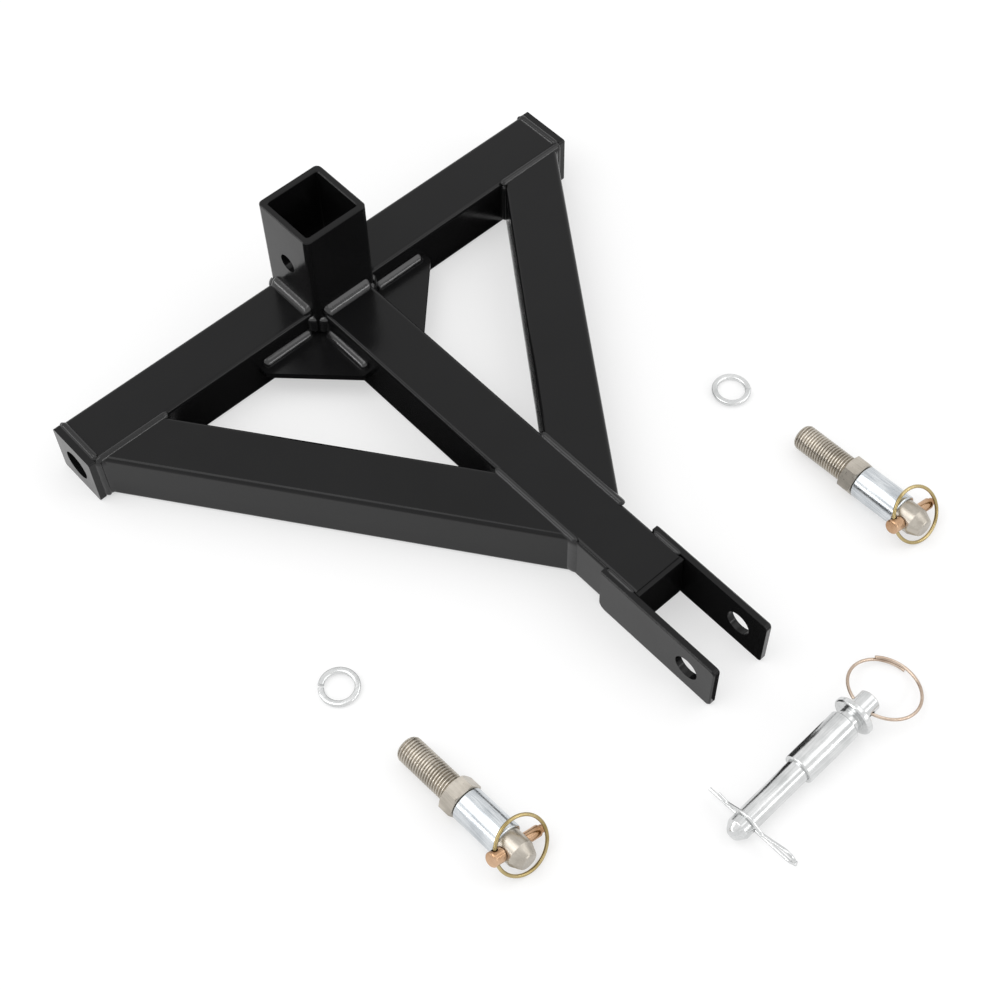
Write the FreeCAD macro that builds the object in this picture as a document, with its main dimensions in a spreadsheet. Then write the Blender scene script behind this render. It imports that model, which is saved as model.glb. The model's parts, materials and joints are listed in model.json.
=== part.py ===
import FreeCAD, Part
import math
import os
import Sketcher
from FreeCAD import Placement, Rotation, Vector

# A tractor's three point hitch frame with an upright receiver tube, and its loose pins.
# The frame lies flat: X runs along the crossbar, the mast runs to -Y, the receiver's mouth looks up.
# The origin is under the middle of the crossbar, on the face that the frame rests on.

FULL_TURN = 360

document = FreeCAD.newDocument("ReceiverHitch")
sheet = document.addObject("Spreadsheet::Sheet", "sizes")

DRIVING = {
    # frame tubes
    "tube_side": 50,
    "tube_wall": 5,
    "tube_corner": 4,
    "tube_corner_inside": 1.5,
    "crossbar_length": 518,
    "end_plate_thickness": 6,
    "end_plate_bore": 26.5,
    "brace_inset": 11,
    "brace_rise": 334,
    "mast_past_brace": 66,
    # receiver
    "receiver_side": 63.5,
    "receiver_wall": 6,
    "receiver_corner": 5,
    "receiver_corner_inside": 2,
    "receiver_height": 139.5,
    "receiver_rim": 0.8,
    "hitch_pin_bore": 17,
    "hitch_pin_depth": 47.5,
    # flat pieces
    "gusset_reach": 91,
    "gusset_thickness": 6,
    "gusset_blunt": 8,
    "ear_thickness": 6,
    "ear_lap": 31,
    "ear_overhang": 88.5,
    "ear_bore_margin": 26.5,
    "ear_bore": 22,
    "ear_front_corner": 3.5,
    "ear_heel_corner": 8,
    "ear_bevel": 1.2,
    "mast_cap_thickness": 4,
    "mast_cap_inset": 1.2,
    "nut_across_flats": 34,
    "nut_thickness": 18,
    "nut_turn_angle": 30,
    # weld beads
    "bead_radius": 4.8,
    "gusset_bead_radius": 4.8,
    "clevis_bead_radius": 3.5,
    "seam_bead_radius": 3.2,
    "seam_bead_depth": 1.6,
    "end_bead_radius": 3.8,
    "end_bead_depth": 1,
    # lower link pins
    "thread_diameter": 22,
    "thread_length": 51.5,
    "thread_bevel": 1.6,
    "thread_relief": 1,
    "hex_across_flats": 28,
    "hex_length": 13,
    "hex_lead_angle": 30,
    "pin_diameter": 23.5,
    "pin_nose_length": 65.5,
    "pin_nose_bevel": 4.8,
    "pin_nose_bevel_length": 9,
    "pin_nose_round": 1,
    "linch_place": 48.8,
    "linch_hole": 10,
    "bushing_diameter": 28,
    "bushing_length": 42,
    "bushing_bevel": 0.8,
    "bushing_end_play": 0.4,
    "running_clearance": 0.08,
    # linch pins and their rings
    "linch_diameter": 9.3,
    "linch_tip": 31,
    "linch_nub_length": 4,
    "linch_nub_diameter": 6.6,
    "linch_shoulder": 0.8,
    "linch_head_diameter": 12,
    "linch_head_length": 10.5,
    "linch_head_gap": 0.3,
    "linch_head_bevel": 1,
    "linch_ring_radius": 22.5,
    "linch_ring_wire": 2.9,
    "linch_ring_hole": 5.2,
    # top link pin
    "top_pin_diameter": 19,
    "top_pin_length": 129,
    "top_pin_nose_bevel": 5,
    "flange_diameter": 33.6,
    "flange_thickness": 5.2,
    "stub_diameter": 18,
    "stub_length": 16.5,
    "stub_bevel": 1,
    "pull_ring_place": 7.5,
    "pull_ring_hole": 6,
    "pull_ring_radius": 28.5,
    "pull_ring_wire": 2.6,
    "pull_ring_coil_gap": 0.2,
    "pull_ring_lap_angle": 50,
    "pull_ring_end_angle": 3,
    "sleeve_diameter": 25.4,
    "sleeve_length": 51.5,
    "sleeve_place": 6.8,
    "clip_place": 114,
    "clip_hole": 4,
    # hairpin clip
    "clip_wire": 2.8,
    "clip_leg": 35,
    "clip_loop_radius": 8.6,
    "clip_loop_end": 48,
    "clip_saddle_gap": 0.4,
    "clip_neck": 15.5,
    "clip_dip": 18,
    "clip_tip": 27,
    "clip_tip_lift": 5.5,
    "clip_bend": 5,
    # spring washers
    "washer_inside": 23,
    "washer_width": 5,
    "washer_thickness": 4,
    "washer_rise": 1.6,
    "washer_gap_angle": 8,
    # cutting room
    "underside_margin": 50,
    "through_cut": 100,
    # where the loose pieces lie beside the frame
    "floor_gap": 0.05,
    "right_pin_x": 198,
    "right_pin_y": 371.6,
    "right_pin_heading_angle": -0.6,
    "right_pin_roll_angle": 15.5,
    "right_ring_lean_angle": 34.5,
    "right_ring_swing_angle": 9,
    "left_pin_x": -221.9,
    "left_pin_y": 363.5,
    "left_pin_heading_angle": 1.25,
    "left_pin_roll_angle": 23,
    "left_ring_lean_angle": 31,
    "left_ring_swing_angle": 11,
    "right_washer_x": 194.5,
    "right_washer_y": 297,
    "right_washer_turn_angle": -43,
    "left_washer_x": -225,
    "left_washer_y": 288.5,
    "left_washer_turn_angle": 137,
    "top_pin_x": 32.1,
    "top_pin_gap": 82.3,
    "top_pin_heading_angle": 0.9,
}

DERIVED = {
    "half_tube": "tube_side / 2",
    "half_receiver": "receiver_side / 2",
    "plate_inside": "crossbar_length / 2 - end_plate_thickness",
    "brace_reach": "crossbar_length / 2 - brace_inset",
    "brace_run": "crossbar_length / 2 - brace_inset - tube_side / 2",
    "brace_drop": "brace_rise - tube_side / 2",
    "brace_length": "sqrt((crossbar_length / 2 - brace_inset - tube_side / 2) ^ 2"
                    " + (brace_rise - tube_side / 2) ^ 2)",
    "mast_end": "brace_rise + mast_past_brace",
    "ear_start": "brace_rise + mast_past_brace - ear_lap",
    "ear_end": "brace_rise + mast_past_brace + ear_overhang",
    "ear_bore_place": "brace_rise + mast_past_brace + ear_overhang - ear_bore_margin",
    "top_pin_y": "brace_rise + mast_past_brace + ear_overhang + top_pin_gap",
    "hex_start": "thread_length",
    "hex_end": "thread_length + hex_length",
    "linch_height": "thread_length + hex_length + linch_place",
    "pin_end": "thread_length + hex_length + pin_nose_length",
    "hex_corner": "hex_across_flats / sqrt(3)",
}


def fillSheet():
    row = 1
    for name, size in DRIVING.items():
        sheet.set(f"A{row}", name)
        sheet.set(f"B{row}", str(size))
        sheet.setAlias(f"B{row}", name)
        row += 1
    for name, formula in DERIVED.items():
        sheet.set(f"A{row}", name)
        sheet.set(f"B{row}", "=" + formula)
        sheet.setAlias(f"B{row}", name)
        row += 1
    document.recompute()


fillSheet()


def linked(formula):
    """Turns $name in a formula into the sheet's cell."""
    return str(formula).replace("$", "sizes.")


def size(formula):
    found = sheet.evalExpression(linked(formula))
    return float(getattr(found, "Value", found))


def bind(item, **formulas):
    for name, formula in formulas.items():
        item.setExpression(name, linked(formula))


# Sketches

def newBody(name):
    body = document.addObject("PartDesign::Body", name)
    body.Label = name
    return body


def newSketch(body, plane, name, offset="0"):
    sketch = body.newObject("Sketcher::SketchObject", f"{body.Label}_{name}")
    origin = [item for item in body.Origin.OriginFeatures if item.Role == plane][0]
    sketch.AttachmentSupport = [(origin, "")]
    sketch.MapMode = "FlatFace"
    sketch.setExpression("AttachmentOffset.Base.z", linked(offset))
    return sketch


def fixPoint(sketch, item, end, x, y):
    axes = (("DistanceX", x, -2), ("DistanceY", y, -1))
    for kind, formula, axis in axes:
        if str(formula) == "0":
            sketch.addConstraint(Sketcher.Constraint("PointOnObject", item, end, axis))
            continue
        index = sketch.addConstraint(Sketcher.Constraint(kind, -1, 1, item, end, size(formula)))
        sketch.setExpression(f"Constraints[{index}]", linked(formula))


def addPolygon(sketch, points):
    first = sketch.GeometryCount
    places = [Vector(size(x), size(y), 0) for x, y in points]
    for index, place in enumerate(places):
        sketch.addGeometry(Part.LineSegment(place, places[(index + 1) % len(places)]), False)
    for index in range(len(points)):
        following = first + (index + 1) % len(points)
        sketch.addConstraint(Sketcher.Constraint("Coincident", first + index, 2, following, 1))
    for index, (x, y) in enumerate(points):
        fixPoint(sketch, first + index, 1, x, y)


def addRectangle(sketch, left, bottom, right, top):
    addPolygon(sketch, [(left, bottom), (right, bottom), (right, top), (left, top)])


def addCircle(sketch, x, y, diameter):
    centre = Vector(size(x), size(y), 0)
    item = sketch.addGeometry(Part.Circle(centre, Vector(0, 0, 1), size(diameter) / 2), False)
    fixPoint(sketch, item, 3, x, y)
    index = sketch.addConstraint(Sketcher.Constraint("Diameter", item, size(diameter)))
    sketch.setExpression(f"Constraints[{index}]", linked(diameter))


# Features

def pad(body, sketch, length, name="pad", reverse=False):
    feature = body.newObject("PartDesign::Pad", f"{body.Label}_{name}")
    feature.Profile = sketch
    feature.Reversed = reverse
    bind(feature, Length=length)
    document.recompute()
    return feature


def pocket(body, sketch, length, name="pocket", bothWays=False, reverse=False):
    before = body.Shape.Volume
    feature = body.newObject("PartDesign::Pocket", f"{body.Label}_{name}")
    feature.Profile = sketch
    feature.Reversed = reverse
    if bothWays:
        feature.SideType = "Symmetric"
    bind(feature, Length=length)
    document.recompute()
    if body.Shape.Volume >= before:
        raise ValueError(f"{feature.Label} cuts nothing")
    return feature


def revolve(body, sketch, name="turned"):
    feature = body.newObject("PartDesign::Revolution", f"{body.Label}_{name}")
    feature.Profile = sketch
    feature.ReferenceAxis = (sketch, ["V_Axis"])
    feature.Angle = FULL_TURN
    document.recompute()
    return feature


def groove(body, sketch, name="groove"):
    before = body.Shape.Volume
    feature = body.newObject("PartDesign::Groove", f"{body.Label}_{name}")
    feature.Profile = sketch
    feature.ReferenceAxis = (sketch, ["V_Axis"])
    feature.Angle = FULL_TURN
    document.recompute()
    if body.Shape.Volume >= before:
        raise ValueError(f"{feature.Label} cuts nothing")
    return feature


def edgesOf(feature, wanted):
    return [f"Edge{index + 1}" for index, edge in enumerate(feature.Shape.Edges) if wanted(edge)]


def isAlong(edge, direction):
    if edge.Curve.TypeId != "Part::GeomLine":
        return False
    return abs(abs(edge.tangentAt(edge.FirstParameter).dot(direction)) - 1) < 1e-6


def middle(edge):
    return edge.CenterOfMass


def roundEdges(body, feature, names, radius, name="rounding"):
    fillet = body.newObject("PartDesign::Fillet", f"{body.Label}_{name}")
    fillet.Base = (feature, names)
    bind(fillet, Radius=radius)
    document.recompute()
    return fillet


def bevelEdges(body, feature, names, width, name="bevel"):
    chamfer = body.newObject("PartDesign::Chamfer", f"{body.Label}_{name}")
    chamfer.Base = (feature, names)
    bind(chamfer, Size=width)
    document.recompute()
    return chamfer


# Frame

def squareTube(name, plane, start, length, centre, side, wall, corner, cornerInside, reverse=False):
    """A square tube whose section is centred on the two formulas in centre."""
    body = newBody(name)
    section = newSketch(body, plane, "section", start)
    across, up = centre
    for inset in ("0", wall):
        half = f"({side} / 2 - {inset})"
        addRectangle(section, f"{across} - {half}", f"{up} - {half}", f"{across} + {half}", f"{up} + {half}")
    tube = pad(body, section, length, reverse=reverse)
    axis = {"XY_Plane": Vector(0, 0, 1), "XZ_Plane": Vector(0, 1, 0), "YZ_Plane": Vector(1, 0, 0)}[plane]
    box = tube.Shape.BoundBox
    slack = size(wall) / 2

    def isOutside(edge):
        place = middle(edge)
        gaps = [min(abs(getattr(place, letter) - getattr(box, letter.upper() + "Min")),
                    abs(getattr(place, letter) - getattr(box, letter.upper() + "Max")))
                for letter in "xyz" if abs(getattr(axis, letter)) < 0.5]
        return max(gaps) < slack

    outer = edgesOf(tube, lambda edge: isAlong(edge, axis) and isOutside(edge))
    rounded = roundEdges(body, tube, outer, corner, "outer_corners")
    inner = edgesOf(rounded, lambda edge: isAlong(edge, axis) and edge.Curve.TypeId == "Part::GeomLine"
                    and isInside(edge, axis, box, slack))
    roundEdges(body, rounded, inner, cornerInside, "inner_corners")
    return body


def isInside(edge, axis, box, slack):
    place = middle(edge)
    letters = [letter for letter in "xyz" if abs(getattr(axis, letter)) < 0.5]
    return all(getattr(place, letter) - getattr(box, letter.upper() + "Min") > slack
               and getattr(box, letter.upper() + "Max") - getattr(place, letter) > slack
               for letter in letters)


def makeReceiver():
    body = squareTube("receiver_tube", "XY_Plane", "0", "$receiver_height", ("0", "0"), "$receiver_side",
                      "$receiver_wall", "$receiver_corner", "$receiver_corner_inside")
    bore = newSketch(body, "YZ_Plane", "pin_bore")
    addCircle(bore, "0", "$receiver_height - $hitch_pin_depth", "$hitch_pin_bore")
    bored = pocket(body, bore, "$receiver_side + 2", "pin_bore_cut", bothWays=True)
    top = size("$receiver_height")
    rim = edgesOf(bored, lambda edge: abs(middle(edge).z - top) < 1e-6)
    bevelEdges(body, bored, rim, "$receiver_rim", "rim")
    return body


def makeCrossbarHalf(side, hand):
    start = "$half_receiver" if side > 0 else "-$plate_inside"
    return squareTube(f"{hand}_crossbar", "YZ_Plane", start, "$plate_inside - $half_receiver",
                      ("0", "$half_tube"), "$tube_side", "$tube_wall", "$tube_corner", "$tube_corner_inside")


def makeMast():
    return squareTube("mast_tube", "XZ_Plane", "$half_receiver", "$mast_end - $half_receiver",
                      ("0", "$half_tube"), "$tube_side", "$tube_wall", "$tube_corner", "$tube_corner_inside")


def braceCorners(side, near, far):
    """Plan of the brace between two lines at the depths near and far from its outer face."""
    def atCrossbar(depth):
        return f"{side} * ($brace_reach - ({depth}) * $brace_length / $brace_drop)", "-$half_tube"

    def atMast(depth):
        return f"{side} * $half_tube", f"-$brace_rise + ({depth}) * $brace_length / $brace_run"

    return [atCrossbar(near), atMast(near), atMast(far), atCrossbar(far)]


def makeBrace(side, hand):
    body = newBody(f"{hand}_brace")
    plan = newSketch(body, "XY_Plane", "plan")
    addPolygon(plan, braceCorners(side, "0", "$tube_side"))
    bar = pad(body, plan, "$tube_side")
    along = Vector(-side * size("$brace_run"), -size("$brace_drop"), 0).normalize()
    outer = edgesOf(bar, lambda edge: isAlong(edge, along))
    rounded = roundEdges(body, bar, outer, "$tube_corner", "outer_corners")
    hollow = newSketch(body, "XY_Plane", "hollow", "$tube_side - $tube_wall")
    addPolygon(hollow, braceCorners(side, "$tube_wall", "$tube_side - $tube_wall"))
    opened = pocket(body, hollow, "$tube_side - 2 * $tube_wall", "bore")
    low, high = size("$tube_wall"), size("$tube_side - $tube_wall")
    inner = edgesOf(opened, lambda edge: isAlong(edge, along)
                    and min(abs(middle(edge).z - low), abs(middle(edge).z - high)) < 1e-6
                    and edge.Length < size("$brace_length") + 1 and isTubeInside(edge, side))
    roundEdges(body, opened, inner, "$tube_corner_inside", "inner_corners")
    return body


def isTubeInside(edge, side):
    """Tells the brace's inner corners from its rounded outer ones by their depth in plan."""
    run, drop, length = size("$brace_run"), size("$brace_drop"), size("$brace_length")
    place = middle(edge)
    depth = ((size("$brace_reach") - side * place.x) * drop - (-size("$half_tube") - place.y) * run) / length
    wall = size("$tube_wall")
    return wall * 0.99 < depth < size("$tube_side") - wall * 0.99


def makeEndPlate(side, hand):
    body = newBody(f"{hand}_end_plate")
    inner = "$plate_inside" if side > 0 else "-$plate_inside - $end_plate_thickness"
    face = newSketch(body, "YZ_Plane", "face", inner)
    addRectangle(face, "-$half_tube", "0", "$half_tube", "$tube_side")
    addCircle(face, "0", "$half_tube", "$end_plate_bore")
    plate = pad(body, face, "$end_plate_thickness")
    corners = edgesOf(plate, lambda edge: isAlong(edge, Vector(1, 0, 0)))
    roundEdges(body, plate, corners, "$tube_corner / 2", "corners")
    return body


def hexagon(radius, turn, x="0", y="0"):
    return [(f"{x} + {radius} * cos({60 * index} + {turn})", f"{y} + {radius} * sin({60 * index} + {turn})")
            for index in range(6)]


def makeWeldNut(side, hand):
    """The threaded nut behind the end plate, which the lower link pin screws into."""
    body = newBody(f"{hand}_weld_nut")
    start = "$plate_inside - $nut_thickness" if side > 0 else "-$plate_inside"
    face = newSketch(body, "YZ_Plane", "face", start)
    addPolygon(face, hexagon("$nut_across_flats / sqrt(3)", "$nut_turn_angle", "0", "$half_tube"))
    addCircle(face, "0", "$half_tube", "$thread_diameter")
    pad(body, face, "$nut_thickness")
    return body


def makeGusset(side, hand):
    body = newBody(f"{hand}_gusset")
    plan = newSketch(body, "XY_Plane", "plan", "$half_tube - $gusset_thickness / 2")
    addPolygon(plan, [
        (f"{side} * $half_receiver", "-$half_tube"),
        (f"{side} * $gusset_reach", "-$half_tube"),
        (f"{side} * $gusset_reach", "-$half_tube - $gusset_blunt"),
        (f"{side} * ($half_tube + $gusset_blunt)", "-$gusset_reach"),
        (f"{side} * $half_tube", "-$gusset_reach"),
        (f"{side} * $half_tube", "-$half_receiver"),
        (f"{side} * $half_receiver", "-$half_receiver"),
    ])
    pad(body, plan, "$gusset_thickness")
    return body


def makeEar(side, hand):
    body = newBody(f"{hand}_clevis_ear")
    face = newSketch(body, "YZ_Plane", "face", "$half_tube" if side > 0 else "-$half_tube - $ear_thickness")
    addRectangle(face, "-$ear_end", "0", "-$ear_start", "$tube_side")
    addCircle(face, "-$ear_bore_place", "$half_tube", "$ear_bore")
    plate = pad(body, face, "$ear_thickness")
    across = Vector(1, 0, 0)
    front, heel = -size("$ear_end"), -size("$ear_start")
    tips = edgesOf(plate, lambda edge: isAlong(edge, across) and abs(middle(edge).y - front) < 1e-6)
    tipped = roundEdges(body, plate, tips, "$ear_front_corner", "tip_corners")
    heels = edgesOf(tipped, lambda edge: isAlong(edge, across) and abs(middle(edge).y - heel) < 1e-6
                    and middle(edge).z < 1)
    heeled = roundEdges(body, tipped, heels, "$ear_heel_corner", "heel_corner")
    outside = side * size("$half_tube + $ear_thickness")
    bore = size("$ear_bore_place")
    rim = edgesOf(heeled, lambda edge: abs(middle(edge).x - outside) < 1e-6 and abs(middle(edge).y + bore) > 1)
    bevelEdges(body, heeled, rim, "$ear_bevel", "bevel")
    return body


def makeMastCap():
    body = newBody("mast_cap")
    face = newSketch(body, "XZ_Plane", "face", "$mast_end")
    inset = "$mast_cap_inset"
    addRectangle(face, f"-$half_tube + {inset}", inset, f"$half_tube - {inset}", f"$tube_side - {inset}")
    pad(body, face, "$mast_cap_thickness")
    return body


# Weld beads: round rods along the seams, less the pieces they join and less what is under the frame

def makeUnderside():
    """The room under the frame, where every bead is dressed flush."""
    block = document.addObject("Part::Box", "underside")
    margin = "$underside_margin"
    bind(block, Length=f"$crossbar_length + 2 * {margin}", Width=f"$ear_end + 2 * {margin}",
         Height="$tube_side")
    bind(block, **{"Placement.Base.x": f"-$crossbar_length / 2 - {margin}",
                   "Placement.Base.y": f"-$ear_end - {margin}", "Placement.Base.z": "-$tube_side"})
    return block


def makeBeads(name, rods, joined):
    pieces = []
    for index, (start, end, radius) in enumerate(rods):
        start, end = Vector(*start), Vector(*end)
        rod = document.addObject("Part::Cylinder", f"{name}_rod_{index}")
        bind(rod, Radius=radius)
        rod.Height = (end - start).Length
        rod.Placement = Placement(start, Rotation(Vector(0, 0, 1), end - start))
        pieces.append(rod)
    fused = document.addObject("Part::MultiFuse", f"{name}_rods")
    fused.Shapes = pieces
    document.recompute()
    for body in joined:
        cut = document.addObject("Part::Cut", f"{name}_less_{body.Label}")
        cut.Base = fused
        cut.Tool = body
        document.recompute()
        fused = cut
    fused.Label = name
    return fused


def mirrored(rods):
    return rods + [((-start[0], *start[1:]), (-end[0], *end[1:]), radius) for start, end, radius in rods]


def makeReceiverBeads(made):
    receiver, tube, top = size("$half_receiver"), size("$half_tube"), size("$tube_side")
    plateTop = size("$half_tube + $gusset_thickness / 2")
    plateUnder = size("$half_tube - $gusset_thickness / 2")
    radius = "$bead_radius"
    rods = mirrored([
        ((receiver, -tube, top), (receiver, tube, top), radius),
        ((receiver, tube, 0), (receiver, tube, top), radius),
        ((receiver, -tube, plateTop), (receiver, -tube, top), radius),
        ((receiver, -tube, 0), (receiver, -tube, plateUnder), radius),
        ((tube, -receiver, plateTop), (tube, -receiver, top), radius),
        ((tube, -receiver, 0), (tube, -receiver, plateUnder), radius),
    ])
    rods.append(((-tube, -receiver, top), (tube, -receiver, top), radius))
    names = ("receiver_tube", "left_crossbar", "right_crossbar", "mast_tube", "left_gusset", "right_gusset",
             "underside")
    return makeBeads("receiver_welds", rods, [made[name] for name in names])


def makeGussetBeads(made):
    tube, receiver, reach = size("$half_tube"), size("$half_receiver"), size("$gusset_reach")
    clear = size("$bead_radius")
    rods = []
    for height in (size("$half_tube + $gusset_thickness / 2"), size("$half_tube - $gusset_thickness / 2")):
        rods.append(((receiver + clear, -tube, height), (reach - clear, -tube, height), "$gusset_bead_radius"))
        rods.append(((tube, -receiver - clear, height), (tube, -reach + clear, height), "$gusset_bead_radius"))
    names = ("left_crossbar", "right_crossbar", "mast_tube", "left_gusset", "right_gusset")
    return makeBeads("gusset_welds", mirrored(rods), [made[name] for name in names])


def makeBraceBeads(made):
    tube = size("$half_tube")
    (x0, y0), (x1, y1), (x2, y2), (x3, y3) = [(size(x), size(y)) for x, y in braceCorners(1, "0", "$tube_side")]
    corner = size("$tube_corner")
    rods = []
    for height in (size("$tube_side - $seam_bead_depth"), size("$seam_bead_depth")):
        rods.append(((x0 - corner, -tube, height), (x3 + corner, -tube, height), "$seam_bead_radius"))
        rods.append(((tube, y1 + corner, height), (tube, y2 - corner, height), "$seam_bead_radius"))
    side = size("$tube_side")
    for x, y in ((x0, y0), (x1, y1), (x2, y2), (x3, y3)):
        rods.append(((x, y, corner), (x, y, side - corner), "$seam_bead_radius"))
    names = ("left_crossbar", "right_crossbar", "mast_tube", "left_brace", "right_brace", "end_plate_welds",
             "underside")
    return makeBeads("brace_welds", mirrored(rods), [made[name] for name in names])


def makeEndBeads(made):
    x = size("$plate_inside - $end_bead_radius + 1")
    half, depth, corner = size("$half_tube"), size("$end_bead_depth"), size("$tube_corner")
    low, high = depth, size("$tube_side") - depth
    inner = half - depth
    rods = mirrored([
        ((x, -half + corner, high), (x, half - corner, high), "$end_bead_radius"),
        ((x, -half + corner, low), (x, half - corner, low), "$end_bead_radius"),
        ((x, inner, corner), (x, inner, size("$tube_side") - corner), "$end_bead_radius"),
        ((x, -inner, corner), (x, -inner, size("$tube_side") - corner), "$end_bead_radius"),
    ])
    names = ("left_crossbar", "right_crossbar", "left_end_plate", "right_end_plate", "left_brace",
             "right_brace", "underside")
    return makeBeads("end_plate_welds", rods, [made[name] for name in names])


def makeClevisBeads(made):
    x, start, end = size("$half_tube"), -size("$ear_start") - 2, -size("$mast_end") + 1
    rods = []
    for height in (size("$tube_side - $seam_bead_depth"), size("$seam_bead_depth")):
        rods.append(((x, start, height), (x, end, height), "$clevis_bead_radius"))
    names = ("mast_tube", "left_clevis_ear", "right_clevis_ear", "underside")
    return makeBeads("clevis_welds", mirrored(rods), [made[name] for name in names])


# Loose pins: each is made about its own Z axis, then laid on the floor

def turned(name, outline):
    """A solid turned about Z from an outline of radius and height formulas."""
    body = newBody(name)
    profile = newSketch(body, "XZ_Plane", "outline")
    addPolygon(profile, outline)
    revolve(body, profile)
    return body


def crossHole(body, place, diameter, across, name):
    """A hole right through, square to the axis, along X or Y."""
    sketch = newSketch(body, "YZ_Plane" if across == "X" else "XZ_Plane", name)
    addCircle(sketch, "0", place, diameter)
    pocket(body, sketch, "$through_cut", f"{name}_cut", bothWays=True)


def makeLowerPin(hand):
    thread, pin = "$thread_diameter / 2", "$pin_diameter / 2"
    body = turned(f"{hand}_lower_pin", [
        ("0", "0"),
        (f"{thread} - $thread_bevel", "0"),
        (thread, "$thread_bevel"),
        (thread, "$hex_start - $thread_relief * 2"),
        (f"{thread} - $thread_relief", "$hex_start - $thread_relief"),
        (f"{thread} - $thread_relief", "$hex_start + 1"),
        (pin, "$hex_start + 2"),
        (pin, "$pin_end - $pin_nose_bevel_length"),
        (f"{pin} - $pin_nose_bevel + $pin_nose_round", "$pin_end - $pin_nose_round"),
        (f"{pin} - $pin_nose_bevel", "$pin_end"),
        ("0", "$pin_end"),
    ])
    collar = newSketch(body, "XY_Plane", "hexagon", "$hex_start")
    addPolygon(collar, hexagon("$hex_corner", f"${hand}_pin_roll_angle"))
    pad(body, collar, "$hex_length", "hexagon_pad")
    flat, corner = "$hex_across_flats / 2", "$hex_corner + 1"
    for name, end, step in (("thread_lead", "$hex_start", "+"), ("bushing_lead", "$hex_end", "-")):
        lead = newSketch(body, "XZ_Plane", name)
        addPolygon(lead, [(flat, end), (corner, end),
                          (corner, f"{end} {step} ({corner} - {flat}) * tan($hex_lead_angle)")])
        groove(body, lead, f"{name}_cut")
    crossHole(body, "$linch_height", "$linch_hole", "X", "linch_hole")
    return body


def makeSleeve(name, start, length, outer, inner):
    edge = "$bushing_bevel"
    return turned(name, [
        (inner, start),
        (f"{outer} - {edge}", start),
        (outer, f"{start} + {edge}"),
        (outer, f"{start} + {length} - {edge}"),
        (f"{outer} - {edge}", f"{start} + {length}"),
        (inner, f"{start} + {length}"),
    ])


def makeLinchPin(hand):
    """Its Z axis runs from the head to the tip; the origin is on the lower pin's axis."""
    seat = "-$pin_diameter / 2 - $linch_head_gap"
    head = "$linch_head_diameter / 2"
    shank, nub = "$linch_diameter / 2", "$linch_nub_diameter / 2"
    body = turned(f"{hand}_linch_pin", [
        ("0", f"{seat} - $linch_head_length"),
        (f"{head} - $linch_head_bevel", f"{seat} - $linch_head_length"),
        (head, f"{seat} - $linch_head_length + $linch_head_bevel"),
        (head, seat),
        (shank, seat),
        (shank, "$linch_tip - $linch_nub_length - $linch_shoulder"),
        (nub, "$linch_tip - $linch_nub_length"),
        (nub, "$linch_tip - $linch_shoulder"),
        (f"{nub} - $linch_shoulder", "$linch_tip"),
        ("0", "$linch_tip"),
    ])
    crossHole(body, f"{seat} - $linch_head_length / 2", "$linch_ring_hole", "X", "ring_hole")
    return body


def makeRing(name, radius, wire):
    ring = document.addObject("Part::Torus", name)
    ring.Label = name
    bind(ring, Radius1=radius, Radius2=f"{wire} / 2")
    return ring


def makeTopPin():
    """Its Z axis runs from the flange's inner face to the nose; the stub is below zero."""
    pin, flange, stub = "$top_pin_diameter / 2", "$flange_diameter / 2", "$stub_diameter / 2"
    stubEnd = "-$flange_thickness - $stub_length"
    body = turned("top_link_pin", [
        ("0", stubEnd),
        (f"{stub} - $stub_bevel", stubEnd),
        (stub, f"{stubEnd} + $stub_bevel"),
        (stub, "-$flange_thickness"),
        (f"{flange} - $stub_bevel", "-$flange_thickness"),
        (flange, "-$flange_thickness + $stub_bevel"),
        (flange, "-$stub_bevel"),
        (f"{flange} - $stub_bevel", "0"),
        (pin, "0"),
        (pin, "$top_pin_length - $top_pin_nose_bevel * 1.4"),
        (f"{pin} - $top_pin_nose_bevel * 0.7", "$top_pin_length - $top_pin_nose_bevel * 0.3"),
        (f"{pin} - $top_pin_nose_bevel", "$top_pin_length"),
        ("0", "$top_pin_length"),
    ])
    crossHole(body, "$clip_place", "$clip_hole", "X", "clip_hole")
    crossHole(body, "-$flange_thickness - $pull_ring_place", "$pull_ring_hole", "X", "ring_hole")
    return body


def roundedPath(corners):
    """A flat path of straight runs whose corners are arcs: each corner is its place and its radius."""
    places = [Vector(x, 0, z) for x, z, _ in corners]
    edges = []
    last = places[0]
    for index in range(1, len(places) - 1):
        before = (places[index - 1] - places[index]).normalize()
        after = (places[index + 1] - places[index]).normalize()
        half = before.getAngle(after) / 2
        inward = (before + after).normalize()
        radius = corners[index][2]
        centre = places[index] + inward * (radius / math.sin(half))
        first = places[index] + before * (radius / math.tan(half))
        second = places[index] + after * (radius / math.tan(half))
        edges.append(Part.LineSegment(last, first).toShape())
        edges.append(Part.Arc(first, centre - inward * radius, second).toShape())
        last = second
    edges.append(Part.LineSegment(last, places[-1]).toShape())
    return edges


def sweptWire(name, edges, wire):
    start = edges[0].valueAt(edges[0].FirstParameter)
    heading = edges[0].tangentAt(edges[0].FirstParameter)
    section = Part.Wire([Part.Circle(start, heading, wire / 2).toShape()])
    swept = document.addObject("Part::Feature", name)
    swept.Label = name
    swept.Shape = Part.Wire(edges).makePipeShell([section], True, False)
    return swept


def saddleAngle(reach, height, radius):
    """Where a line from a point beside a circle touches the circle's top, as an angle from its level."""
    return math.atan2(height, reach) + math.acos(radius / math.hypot(reach, height))


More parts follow.
